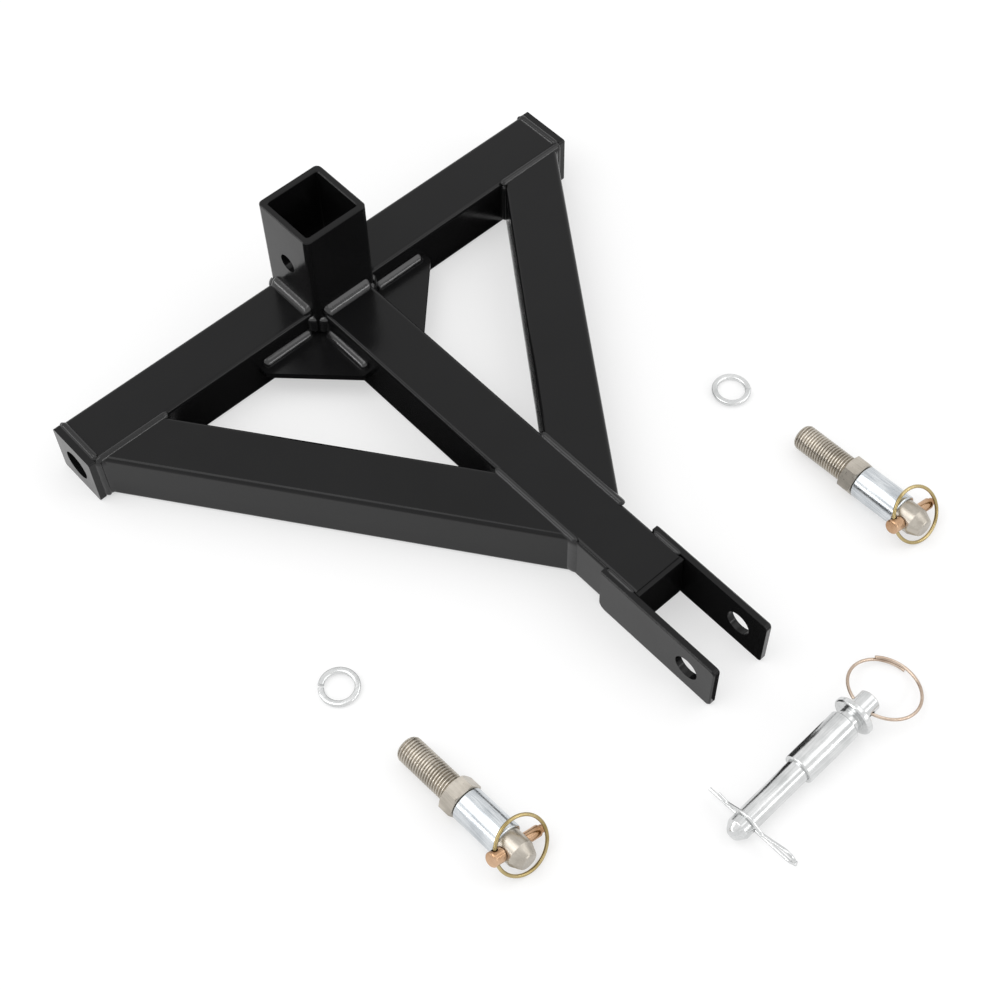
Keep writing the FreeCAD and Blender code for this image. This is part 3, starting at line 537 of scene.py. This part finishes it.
def startTree(name, sizes):
    # a modifier's tree, with an input for its geometry, one for each size and one for its material
    tree = bpy.data.node_groups.new(name, "GeometryNodeTree")
    tree.is_modifier = True
    tree.interface.new_socket(name="Geometry", in_out="INPUT", socket_type="NodeSocketGeometry")
    for label, value in sizes.items():
        kind = "NodeSocketInt" if isinstance(value, int) else "NodeSocketFloat"
        tree.interface.new_socket(name=label, in_out="INPUT", socket_type=kind).default_value = value
    tree.interface.new_socket(name="Material", in_out="INPUT", socket_type="NodeSocketMaterial")
    tree.interface.new_socket(name="Geometry", in_out="OUTPUT", socket_type="NodeSocketGeometry")
    return tree, addNode(tree, "NodeGroupInput").outputs


def sumsFor(tree):
    operations = "ADD", "SUBTRACT", "MULTIPLY", "DIVIDE", "MINIMUM", "MAXIMUM"
    return [partial(calc, tree, operation) for operation in operations]


def vectorSum(tree, first, second):
    return addNode(tree, "ShaderNodeVectorMath", {0: first, 1: second}, operation="ADD").outputs[0]


def vectorTimes(tree, vector, factor):
    return addNode(tree, "ShaderNodeVectorMath", {0: vector, "Scale": factor}, operation="SCALE").outputs[0]


def keepOnPoints(tree, geometry, name, kind, value):
    inputs = {"Geometry": geometry, "Name": name, "Value": value}
    node = addNode(tree, "GeometryNodeStoreNamedAttribute", inputs, data_type=kind, domain="POINT")
    return node.outputs["Geometry"]


def readPoints(tree, name, kind):
    node = addNode(tree, "GeometryNodeInputNamedAttribute", {"Name": name}, data_type=kind)
    return node.outputs["Attribute"]


def endTree(tree, geometry, given):
    real = addNode(tree, "GeometryNodeRealizeInstances", {0: geometry})
    finish = {"Geometry": real.outputs[0], "Material": given["Material"]}
    addNode(tree, "NodeGroupOutput", {0: addNode(tree, "GeometryNodeSetMaterial", finish).outputs[0]})
    return tree


def makeWeldBeadTree(sizes):
    # a fillet along each line of the mesh; the line's points say which way it faces and how wide it is
    tree, given = startTree("weldBead", sizes)
    plus, minus, times, over, least, most = sumsFor(tree)
    place = addNode(tree, "GeometryNodeInputPosition").outputs[0]
    seam = addNode(tree, "GeometryNodeMeshToCurve", {0: given["Geometry"]}).outputs[0]
    spacing = {"Curve": seam, "Length": given["Station Spacing"]}
    line = addNode(tree, "GeometryNodeResampleCurve", spacing, mode="LENGTH").outputs[0]
    line = keepOnPoints(tree, line, "station", "FLOAT_VECTOR", place)
    for name, kind in (("along", "GeometryNodeSplineParameter"), ("total", "GeometryNodeSplineLength")):
        line = keepOnPoints(tree, line, name, "FLOAT", addNode(tree, kind).outputs["Length"])
    circle = {"Resolution": given["Profile Points"], "Radius": 1}
    profile = addNode(tree, "GeometryNodeCurvePrimitiveCircle", circle).outputs[0]
    profile = keepOnPoints(tree, profile, "cross", "FLOAT_VECTOR", place)
    swept = {"Curve": line, "Profile Curve": profile, "Fill Caps": True}
    tube = addNode(tree, "GeometryNodeCurveToMesh", swept).outputs[0]

    # what each of the tube's points knows of its place on the circle and on the line
    cross = addNode(tree, "ShaderNodeSeparateXYZ", {0: readPoints(tree, "cross", "FLOAT_VECTOR")}).outputs
    vectors = "station", "facing", "sideways"
    numbers = "halfWidth", "standOff", "crown", "along", "total"
    station, facing, sideways = [readPoints(tree, name, "FLOAT_VECTOR") for name in vectors]
    halfWidth, standOff, crown, along, total = [readPoints(tree, name, "FLOAT") for name in numbers]

    # rounded ends, which keep a fiftieth of the bead's width at the tip
    leastSquare = 0.0004
    toEnd = least(along, minus(total, along))
    missing = minus(1, most(least(over(toEnd, given["Cap Length"]), 1), 0))
    taper = calc(tree, "SQRT", most(minus(1, times(missing, missing)), leastSquare))

    # hand-laid unevenness, from seeded noise and faint ripples
    pattern = {"Vector": station, "W": given["Seed"], "Scale": given["Wander Scale"], "Detail": 1}
    noise = addNode(tree, "ShaderNodeTexNoise", pattern, noise_dimensions="4D").outputs["Fac"]
    uneven = times(minus(noise, 0.5), given["Wander"])
    square = times(cross["X"], cross["X"])
    dome = minus(1, square)
    shift = plus(plus(along, times(square, halfWidth)), times(uneven, given["Ripple Shift"]))
    wave = calc(tree, "SINE", times(over(shift, given["Ripple Length"]), math.tau))
    ripple = times(times(wave, given["Ripple Height"]), dome)

    # the circle's upper half becomes the bead's face, and its lower half lies buried in the corner
    across = times(cross["X"], times(times(halfWidth, plus(1, uneven)), taper))
    upper = times(plus(plus(standOff, times(crown, dome)), ripple), taper)
    size = calc(tree, "ABSOLUTE", cross["X"])
    lower = times(minus(times(standOff, size), times(given["Sink"], minus(1, size))), taper)
    justBelow = -0.0001  # so that the circle's two side points count as its upper half
    isUpper = calc(tree, "GREATER_THAN", cross["Y"], justBelow)
    out = plus(times(upper, isUpper), times(lower, minus(1, isUpper)))
    offset = vectorSum(tree, vectorTimes(tree, facing, out), vectorTimes(tree, sideways, across))
    target = addNode(tree, "ShaderNodeSeparateXYZ", {0: vectorSum(tree, station, offset)}).outputs

    # dressed flush underneath, so nothing is below the floor
    flush = {"X": target["X"], "Y": target["Y"], "Z": most(target["Z"], 0)}
    goal = addNode(tree, "ShaderNodeCombineXYZ", flush).outputs[0]
    move = addNode(tree, "GeometryNodeSetPosition", {"Geometry": tube, "Position": goal})
    return endTree(tree, move.outputs[0], given)


def makeScrewThreadTree(sizes):
    # a right-hand thread about Z: the grid's X goes once round and its Y climbs, following the helix
    tree, given = startTree("screwThread", sizes)
    plus, minus, times, over, least, most = sumsFor(tree)
    pitch, length = given["Pitch"], given["Length"]
    crest, root = given["Crest Radius"], given["Root Radius"]
    grid = addNode(tree, "GeometryNodeMeshGrid", {
        "Size X": 1, "Size Y": 1, "Vertices X": given["Columns"], "Vertices Y": given["Rows"],
    })
    place = addNode(tree, "GeometryNodeInputPosition").outputs[0]
    place = addNode(tree, "ShaderNodeSeparateXYZ", {0: place}).outputs
    around, climb = plus(place["X"], 0.5), plus(place["Y"], 0.5)  # both from 0 to 1

    start = minus(times(climb, plus(length, times(pitch, extraTurns))), times(pitch, turnsBefore))
    height = plus(start, times(around, pitch))
    phase = calc(tree, "FRACT", over(start, pitch))
    ramp = calc(tree, "ABSOLUTE", minus(times(phase, 2), 1))
    flank = least(most(over(minus(ramp, given["Root Flat"]), given["Flank"]), 0), 1)
    depth = minus(crest, root)
    radius = plus(root, times(flank, depth))

    # the groove runs out at the collar, and a rounded lead narrows the thread's free end
    toEnd = most(minus(length, height), 0)
    runoutLimit = plus(root, times(least(over(toEnd, given["Runout Length"]), 1), depth))
    left = minus(1, least(over(most(height, 0), given["Lead Length"]), 1))
    leadLimit = minus(crest, times(given["Lead Depth"], times(left, left)))
    radius = least(radius, least(runoutLimit, leadLimit))

    # past its two ends the thread closes to the axis
    slack = times(pitch, given["End Slack"])
    started = calc(tree, "GREATER_THAN", height, times(slack, -1))
    unfinished = calc(tree, "LESS_THAN", height, plus(length, slack))
    radius = times(radius, times(started, unfinished))
    angle = times(around, math.tau)
    goal = addNode(tree, "ShaderNodeCombineXYZ", {
        "X": times(radius, calc(tree, "COSINE", angle)),
        "Y": times(radius, calc(tree, "SINE", angle)),
        "Z": least(most(height, 0), length),
    }).outputs[0]
    move = addNode(tree, "GeometryNodeSetPosition", {"Geometry": grid.outputs["Mesh"], "Position": goal})
    merging = {"Geometry": move.outputs[0], "Distance": given["Merge Distance"]}
    return endTree(tree, addNode(tree, "GeometryNodeMergeByDistance", merging).outputs[0], given)


def grow(mesh, tree, values):
    holder = addObject("holder", mesh)
    change = holder.modifiers.new(tree.name, "NODES")
    change.node_group = tree
    sockets = {item.name: item.identifier for item in tree.interface.items_tree if item.in_out == "INPUT"}
    for name, value in values.items():
        change[sockets[name]] = value
    made = plainMesh(holder)
    bpy.data.objects.remove(holder)
    return made


weldBeadTree = makeWeldBeadTree(weldBead)
screwThreadTree = makeScrewThreadTree(screwThread)
print("node trees built")


# weld beads on the frame

frameShape = {
    "halfTube": 25, "tubeTop": 50, "halfReceiver": 31.75, "plateInside": 253,
    "gussetTop": 28, "gussetUnder": 22,
}

weldShape = {
    "overlap": 0.1,  # a fillet lies this much nearer to its corner, so that its toes sink in
    "topGap": 3,  # upright beads stop short of the tubes' rounded top edges
    "receiverLeg": 6.8, "receiverCrown": 1, "aboveGussetShare": 0.8,
    "gussetLeg": 5.8, "gussetCrown": 1, "gussetStart": 34.5, "gussetEnd": 87.5,
    "braceLeg": 4.6, "braceCrown": 0.5, "braceLift": 2,
    "braceTopWidth": 3.6, "braceTopSink": 0.8, "braceTopCrown": 3,
    "braceAlongBar": (252, 181.5), "braceAlongMast": (-338, -245),
    "endWidth": 3.9, "endSink": 0.9, "endCrown": 3.6, "endInset": 2.8, "endGap": 1,
    "clevisWidth": 3.4, "clevisSink": 2.4, "clevisCrown": 3.2, "clevisRun": (-371, -399),
}

# where the brace's outer and inner faces meet the crossbar and the mast: place, facing and half angle
braceCorners = [
    ((248, -25), (0.4555, -0.890), 62.9),
    ((25, -334), (0.951, -0.307), 72.1),
    ((25, -248.56), (0.307, 0.951), 17.9),
    ((186.34, -25), (-0.890, -0.4555), 27.1),
]

seamLayers = {
    "facing": "FLOAT_VECTOR", "sideways": "FLOAT_VECTOR",
    "halfWidth": "FLOAT", "standOff": "FLOAT", "crown": "FLOAT",
}
beadLayers = "station", "along", "total", "cross"  # kept by the bead tree for its own sums


# a seam is its start, end and facing, half its width, its face's distance from the line, and its crown

def fillet(start, end, facing, leg, crown, halfAngle=45):
    half = math.radians(halfAngle)
    return start, end, facing, leg * math.sin(half), leg * math.cos(half) - weldShape["overlap"], crown


def ridge(start, end, facing, width, sink, crown):
    return start, end, facing, width, -sink, crown


def mirrored(point):
    return (-point[0], *point[1:])


def bothSides(seams):
    return seams + [(*map(mirrored, seam[:3]), *seam[3:]) for seam in seams]


def receiverSeams(shape, weld):
    tube, top, receiver = shape["halfTube"], shape["tubeTop"], shape["halfReceiver"]
    leg, crown = weld["receiverLeg"], weld["receiverCrown"]
    shortLeg = leg * weld["aboveGussetShare"]
    seams = [
        fillet((receiver, -tube, top), (receiver, tube, top), (1, 0, 1), leg, crown),
        fillet((receiver, tube, 0), (receiver, tube, top), (1, 1, 0), leg, crown),
    ]
    over, under, high = shape["gussetTop"], shape["gussetUnder"], top - weld["topGap"]
    for x, y in ((receiver, -tube), (tube, -receiver)):
        seams.append(fillet((x, y, over), (x, y, high), (1, -1, 0), shortLeg, crown))
        seams.append(fillet((x, y, 0), (x, y, under), (1, -1, 0), leg, crown))
    onMast = fillet((-tube, -receiver, top), (tube, -receiver, top), (0, -1, 1), leg, crown)
    return bothSides(seams) + [onMast]


def gussetSeams(shape, weld):
    tube, start, end = shape["halfTube"], weld["gussetStart"], weld["gussetEnd"]
    sizes = weld["gussetLeg"], weld["gussetCrown"]
    seams = []
    for height, side in ((shape["gussetTop"], 1), (shape["gussetUnder"], -1)):
        seams.append(fillet((start, -tube, height), (end, -tube, height), (0, -1, side), *sizes))
        seams.append(fillet((tube, -start, height), (tube, -end, height), (1, 0, side), *sizes))
    return bothSides(seams)


def braceSeams(shape, weld):
    tube, top = shape["halfTube"], shape["tubeTop"]
    seams = []
    for (x, y), (across, down), halfAngle in braceCorners:
        low, high = (x, y, weld["braceLift"]), (x, y, top - weld["topGap"])
        seams.append(fillet(low, high, (across, down, 0), weld["braceLeg"], weld["braceCrown"], halfAngle))
    sizes = weld["braceTopWidth"], weld["braceTopSink"], weld["braceTopCrown"]
    (farX, nearX), (farY, nearY) = weld["braceAlongBar"], weld["braceAlongMast"]
    seams.append(ridge((farX, -tube, top), (nearX, -tube, top), (0, 0, 1), *sizes))
    seams.append(ridge((tube, farY, top), (tube, nearY, top), (0, 0, 1), *sizes))
    return bothSides(seams)


def endPlateSeams(shape, weld):
    x, tube, top = shape["plateInside"] - weld["endInset"], shape["halfTube"], shape["tubeTop"]
    gap, sizes = weld["endGap"], (weld["endWidth"], weld["endSink"], weld["endCrown"])
    return bothSides([
        ridge((x, -tube + gap, top), (x, tube - gap, top), (0, 0, 1), *sizes),
        ridge((x, tube, gap), (x, tube, top - gap), (0, 1, 0), *sizes),
        ridge((x, -tube, gap), (x, -tube, top - gap), (0, -1, 0), *sizes),
    ])


def clevisSeams(shape, weld):
    x, top, (start, end) = shape["halfTube"], shape["tubeTop"], weld["clevisRun"]
    sizes = weld["clevisWidth"], weld["clevisSink"], weld["clevisCrown"]
    return bothSides([ridge((x, start, top), (x, end, top), (0, 0, 1), *sizes)])


def seamLines(seams):
    # one edge for each seam, and on its points what the bead tree reads
    points, edges, values = [], [], []
    for start, end, facing, *sizes in seams:
        ahead = (Vector(end) - Vector(start)).normalized()
        outward = Vector(facing).normalized()
        edges.append((len(points), len(points) + 1))
        points += [Vector(start) * mm, Vector(end) * mm]
        values += [(outward, ahead.cross(outward), *(size * mm for size in sizes))] * 2
    mesh = bpy.data.meshes.new("seams")
    mesh.from_pydata(points, edges, [])
    for index, (name, kind) in enumerate(seamLayers.items()):
        layer = mesh.attributes.new(name, kind, "POINT")
        for point, value in zip(layer.data, values):
            setattr(point, "vector" if kind == "FLOAT_VECTOR" else "value", value[index])
    return mesh


def layWelds(node, seams, finish, seed):
    mesh = grow(seamLines(seams), weldBeadTree, {"Material": finishes[finish], "Seed": float(seed)})
    for name in (*seamLayers, *beadLayers):
        mesh.attributes.remove(mesh.attributes[name])
    mesh = tidyMesh(mesh, sharpAngles["welds"])
    newPiece(node + "Fillets", mesh, node, "frame_and_pins", "black_paint", finish)


# painted highlight: the receiver's and gussets' beads take the brighter, glossier copy, and the other beads
# take the duller one
weldGroups = {
    "receiver_welds": (receiverSeams, "highlitWeldPaint", 3),
    "gusset_welds": (gussetSeams, "highlitWeldPaint", 4),
    "brace_welds": (braceSeams, "highlitSeamPaint", 5),
    "end_plate_welds": (endPlateSeams, "highlitSeamPaint", 6),
    "clevis_welds": (clevisSeams, "highlitSeamPaint", 7),
}
for weldName, (seamsOf, weldFinish, weldSeed) in weldGroups.items():
    layWelds(weldName, seamsOf(frameShape, weldShape), weldFinish, weldSeed)
print("welds laid")


# the lower link pins, with their bushings, linch pins and rings

lowerPin = {
    "threadLength": 51.5, "pitch": 2.5, "crestRadius": 11, "rootRadius": 9.5,
    "leadLength": 4.2, "leadDepth": 2.3, "threadOverlap": 0.2, "rowsPerTurn": 10,
    "hexFlat": 14, "hexCorner": 16.166, "hexLength": 13, "hexLead": 30,
    "plainStart": 59.5, "radius": 11.75, "edge": 0.35,  # the plain part starts inside the collar
    "noseStart": 121, "noseRadius": 6.95, "noseRound": 1, "end": 130,
    "linchHeight": 113.3, "linchHole": 5,
}

lowerBushing = {"start": 64.9, "length": 42, "radius": 14, "inside": 11.83, "edge": 0.8, "innerEdge": 0.3}

linchPin = {
    "seat": -12.05, "seatEdge": 0.4, "headRadius": 6, "headLength": 10.5, "headEdge": 1,
    "radius": 4.65, "shoulder": 0.8, "nubRadius": 3.3, "nubLength": 4, "tip": 31,
    "ringHole": 2.6, "edge": 0.4,
}

linchRing = {"radius": 22.5, "wire": 2.9, "steps": 144}

# how the two sets lie: origin at the thread's end, axis to the nose, linch pin's direction, ring's hinge
lowerPinPlaces = {
    "left": {
        "base": (-221.9, -363.5, 10.90799), "axis": (0.02176, -0.99722, 0.07127),
        "linch": (0.92089, -0.00776, -0.38974), "hinge": (0.32241, 0.57714, 0.75031),
        "roll": 23, "swing": 11,
    },
    "right": {
        "base": (198.0, -371.6, 10.92675), "axis": (-0.01045, -0.99794, 0.06326),
        "linch": (0.9634, -0.027, -0.2667), "hinge": (0.22667, 0.61317, 0.75673),
        "roll": 15.5, "swing": 9,
    },
}


def softEdges(outline, radius, steps=3, support=1.2, longest=0.4):
    # rounds the corners of a turned outline, apart from its two ends, between two support points each;
    # no cut takes more than the longest share of a run
    rounded = [outline[0]]
    for before, corner, after in zip(outline, outline[1:], outline[2:]):
        place = Vector(corner)
        back, ahead = Vector(before) - place, Vector(after) - place
        cut = min(radius, back.length * longest, ahead.length * longest)
        back, ahead = back.normalized() * cut, ahead.normalized() * cut
        rounded.append(tuple(place + back * support))
        for step in range(steps + 1):
            share = step / steps
            rounded.append(tuple(place + back * (1 - share) ** 2 + ahead * share ** 2))
        rounded.append(tuple(place + ahead * support))
    rounded.append(outline[-1])
    return rounded


def crossTool(radius, height, length=40):
    # a round tool along X that drills a cross hole at this height
    half = length / 2
    tool = turn([(0, -half), (radius, -half), (radius, half), (0, half)], columns=48)
    tool.transform(Matrix.Rotation(math.pi / 2, 4, "Y"))
    tool.transform(Matrix.Translation((0, 0, height * mm)))
    return tool


def makeThread(shape, finish):
    rows = round((shape["threadLength"] / shape["pitch"] + extraTurns) * shape["rowsPerTurn"]) + 1
    return grow(meshFrom([(0, 0, 0)], []), screwThreadTree, {
        "Length": (shape["threadLength"] + shape["threadOverlap"]) * mm,
        "Pitch": shape["pitch"] * mm,
        "Crest Radius": shape["crestRadius"] * mm,
        "Root Radius": shape["rootRadius"] * mm,
        "Lead Length": shape["leadLength"] * mm,
        "Lead Depth": shape["leadDepth"] * mm,
        "Rows": rows,
        "Material": finishes[finish],
    })


def makeHexagon(shape, roll):
    # a six-sided block, with its corners turned down by a cone at both ends
    low, high, flat = shape["threadLength"], shape["threadLength"] + shape["hexLength"], shape["hexFlat"]
    corners = [polar(shape["hexCorner"], math.radians(60 * index + roll)) for index in range(6)]
    wide = shape["hexCorner"] + 1  # past the corners
    rise = (wide - flat) * math.tan(math.radians(shape["hexLead"]))
    cone = turn([(0, low), (flat, low), (wide, low + rise), (wide, high - rise), (flat, high), (0, high)])
    return cutWith(prism(corners, low, high), cone, "INTERSECT")


def makeStud(shape, roll):
    radius, nose, edge = shape["radius"], shape["noseRadius"], shape["noseRound"]
    start, taper, end = shape["plainStart"], shape["noseStart"], shape["end"]
    outline = softEdges([
        (0, start), (radius, start), (radius, taper), (nose + edge, end - edge), (nose, end), (0, end),
    ], shape["edge"])
    plain = cutWith(turn(outline), crossTool(shape["linchHole"], shape["linchHeight"]))
    return joined([tidyMesh(makeThread(shape, "studNickel")), makeHexagon(shape, roll), plain])


def makeSleeve(shape):
    low, high, inner = shape["start"], shape["start"] + shape["length"], shape["innerEdge"]
    inside, outside, edge = shape["inside"], shape["radius"], shape["edge"]
    outline = [
        (inside, low + inner), (inside + inner, low), (outside - edge, low), (outside, low + edge),
        (outside, high - edge), (outside - edge, high), (inside + inner, high), (inside, high - inner),
    ]
    loop = softEdges([outline[-1], *outline, outline[0]], edge / 2)[1:-1]
    return tidyMesh(turn(loop, closed=True))


def makeLinchPin(shape):
    seat, seatEdge, head, edge = shape["seat"], shape["seatEdge"], shape["headRadius"], shape["headEdge"]
    top, middle = seat - shape["headLength"], seat - shape["headLength"] / 2
    radius, shoulder, nub, tip = shape["radius"], shape["shoulder"], shape["nubRadius"], shape["tip"]
    nubStart = tip - shape["nubLength"]
    outline = softEdges([
        (0, top), (head - edge, top), (head, top + edge), (head, seat - seatEdge), (head - seatEdge, seat),
        (radius, seat), (radius, nubStart - shoulder), (nub, nubStart),
        (nub, tip - shoulder), (nub - shoulder, tip), (0, tip),
    ], shape["edge"])
    return cutWith(turn(outline, columns=96), crossTool(shape["ringHole"], middle, length=20))


def layLowerPin(hand, place):
    base, axis, across, hinge = [Vector(place[key]) for key in ("base", "axis", "linch", "hinge")]
    stud = laidAt(makeStud(lowerPin, place["roll"]), base, axis, across)
    newPiece(hand + "Stud", stud, hand + "_lower_pin", "frame_and_pins", "stud_nickel")

    bushing = laidAt(makeSleeve(lowerBushing), base, axis, across)
    newPiece(hand + "Bushing", bushing, hand + "_pin_bushing", hand + "_bushing", "bright_zinc")

    crossing = base + axis * lowerPin["linchHeight"]
    linch = laidAt(makeLinchPin(linchPin), crossing, across, hinge)
    newPiece(hand + "LinchPin", linch, hand + "_linch_pin", hand + "_linch", "yellow_zinc")

    eye = crossing + across * (linchPin["seat"] - linchPin["headLength"] / 2)
    swing = math.radians(place["swing"])
    reach = across * math.cos(swing) + across.cross(hinge) * math.sin(swing)
    radius = linchRing["radius"]
    centre = eye + reach * (radius - ringSag(radius, linchPin["headRadius"] * 2))
    wire = wireAlong(coil(radius, 360, linchRing["steps"])[:-1], linchRing["wire"], closed=True)
    ring = laidAt(wire, centre, reach.cross(hinge), reach)
    newPiece(hand + "LinchRing", ring, hand + "_linch_ring", hand + "_ring", "ring_gold")


for hand, place in lowerPinPlaces.items():
    layLowerPin(hand, place)
print("lower link pins laid")


# spring washers

springWasher = {
    "inside": 11.5, "width": 5, "thick": 4, "edge": 1.4,
    "rise": 1.6, "gap": 8, "floorGap": 0.05, "steps": 150,
}
washerPlaces = {"left": (-225, -288.5, 137), "right": (194.5, -297, -43)}  # x, y and heading


def roundedBox(width, height, radius, steps=5):
    section = []
    for corner, (sideX, sideY) in enumerate(((1, 1), (-1, 1), (-1, -1), (1, -1))):
        centreX, centreY = sideX * (width / 2 - radius), sideY * (height / 2 - radius)
        for step in range(steps + 1):
            x, y = polar(radius, math.pi / 2 * (corner + step / steps))
            section.append(((centreX + x) * mm, (centreY + y) * mm))
    return section


def makeWasher(shape):
    width, thick = shape["width"], shape["thick"]
    turned = 360 - shape["gap"]
    path = coil(shape["inside"] + width / 2, turned, shape["steps"], low=thick / 2, rise=shape["rise"])
    return tidyMesh(sweep(path, roundedBox(width, thick, shape["edge"]), upZ))


for hand, (x, y, heading) in washerPlaces.items():
    washer = makeWasher(springWasher)
    washer.transform(Matrix.Rotation(math.radians(heading + springWasher["gap"] / 2), 4, "Z"))
    washer.transform(Matrix.Translation((x * mm, y * mm, springWasher["floorGap"] * mm)))
    newPiece(hand + "Washer", washer, hand + "_spring_washer", "frame_and_pins", "silver_zinc")
print("washers laid")


# the top link pin, with its sleeve, pull ring and hairpin

topPin = {
    "radius": 9.5, "length": 129, "edge": 1, "softEdge": 0.4,
    "nose": ((0, 7), (3.5, 1.5), (5, 0)),  # how far in and how far back its three bends lie
    "flangeRadius": 16.8, "flangeThick": 5.2, "stubRadius": 9, "stubLength": 16.5,
    "clipPlace": 114, "clipHole": 2, "ringPlace": 7.5, "ringHole": 3,
    "base": (32.1, -570.8, 16.76124), "axis": (-0.99812, -0.01568, -0.05925), "heading": 0.9,
}

topSleeve = {"start": 6.8, "length": 51.5, "radius": 12.7, "inside": 9.58, "edge": 0.8, "innerEdge": 0.3}

pullRing = {"radius": 28.5, "wire": 2.6, "gap": 0.2, "lap": 50, "start": 3, "drop": 15.006, "steps": 200}

hairpin = {
    "wire": 2.8, "leg": 35, "loop": 8.6, "loopRound": 0.98, "loopEnd": 48,
    "saddleGap": 0.4, "neck": 15.5, "dip": 18, "tip": 27, "tipLift": 5.5, "bend": 5,
}


def makeTopPin(shape):
    radius, length, edge = shape["radius"], shape["length"], shape["edge"]
    flange, stub, seat = shape["flangeRadius"], shape["stubRadius"], -shape["flangeThick"]
    end = seat - shape["stubLength"]
    outline = softEdges([
        (0, end), (stub - edge, end), (stub, end + edge), (stub, seat),
        (flange - edge, seat), (flange, seat + edge), (flange, -edge), (flange - edge, 0), (radius, 0),
        *[(radius - inward, length - back) for inward, back in shape["nose"]], (0, length),
    ], shape["softEdge"])
    body = cutWith(turn(outline), crossTool(shape["clipHole"], shape["clipPlace"]))
    return cutWith(body, crossTool(shape["ringHole"], seat - shape["ringPlace"]))


def makePullRing(shape):
    turned = 360 + shape["lap"]
    rise = (shape["wire"] + shape["gap"]) * turned / 360
    path = coil(shape["radius"], turned, shape["steps"], start=shape["start"], low=-rise / 2, rise=rise)
    return wireAlong(path, shape["wire"])


def bentPath(corners, steps=16):
    # straight runs in the XZ plane, with an arc at each inner corner, from (x, z, radius)
    path = [Vector(corners[0][:2])]
    for before, corner, after in zip(corners, corners[1:], corners[2:]):
        place, radius = Vector(corner[:2]), corner[2]
        back, ahead = (Vector(before[:2]) - place).normalized(), (Vector(after[:2]) - place).normalized()
        half = back.angle(ahead) / 2
        centre = place + (back + ahead).normalized() * radius / math.sin(half)
        start = place + back * radius / math.tan(half) - centre
        end = place + ahead * radius / math.tan(half) - centre
        turned = math.atan2(start.x * end.y - start.y * end.x, start.dot(end))
        path += [centre + Matrix.Rotation(turned * step / steps, 2) @ start for step in range(steps + 1)]
    path.append(Vector(corners[-1][:2]))
    return [Vector((point.x, 0, point.y)) * mm for point in path]


def saddleAngle(reach, height, radius):
    # where on an arc about the origin the straight run to this point leaves it
    return math.atan2(height, reach) + math.acos(radius / math.hypot(reach, height))


def makeHairpin(shape):
    # one leg goes through the pin; the other is bent over the pin's back like a saddle
    wire, gap, loop, bend = shape["wire"], shape["saddleGap"], shape["loop"], shape["bend"]
    saddle = topPin["radius"] + gap + wire / 2
    loopX, touch, loopBend = shape["loopEnd"] - wire / 2, wire + gap / 2, loop * shape["loopRound"]
    front, rear = saddleAngle(shape["dip"], touch, saddle), saddleAngle(shape["neck"], touch, saddle)
    peak = polar(saddle / math.cos((math.pi - front - rear) / 2), (math.pi - front + rear) / 2)
    path = bentPath([
        (-shape["leg"], 0, 0), (loopX, 0, loopBend), (loopX, loop * 2, loopBend),
        (shape["neck"], touch, bend), (*peak, saddle), (-shape["dip"], touch, bend),
        (-shape["tip"], shape["tipLift"], 0),
    ])
    return wireAlong(path, wire, upright=Vector((0, 1, 0)))


def layTopPin(shape, ring):
    base, axis = Vector(shape["base"]), Vector(shape["axis"])
    spin = Matrix.Rotation(math.radians(shape["heading"]), 3, "Z")
    side = spin @ Vector((0, 1, 0))
    pin = laidAt(makeTopPin(shape), base, axis, -side)
    newPiece("topPin", pin, "top_link_pin", "frame_and_pins", "silver_zinc")

    sleeve = laidAt(makeSleeve(topSleeve), base, axis, -side)
    newPiece("topSleeve", sleeve, "top_pin_sleeve", "sleeve", "silver_zinc")

    eye = base - axis * (shape["flangeThick"] + shape["ringPlace"])
    drop = math.radians(ring["drop"])
    outward = spin @ Vector((math.cos(drop), 0, -math.sin(drop)))
    centre = eye + outward * (ring["radius"] - ringSag(ring["radius"], shape["stubRadius"] * 2))
    wire = laidAt(makePullRing(ring), centre, outward.cross(side), outward)
    newPiece("topRing", wire, "pull_ring", "pull_ring", "ring_copper")

    clip = laidAt(makeHairpin(hairpin), base + axis * shape["clipPlace"], side.cross(axis), -side)
    newPiece("hairpin", clip, "hairpin_clip", "frame_and_pins", "silver_zinc")


layTopPin(topPin, pullRing)
print("top link pin laid")
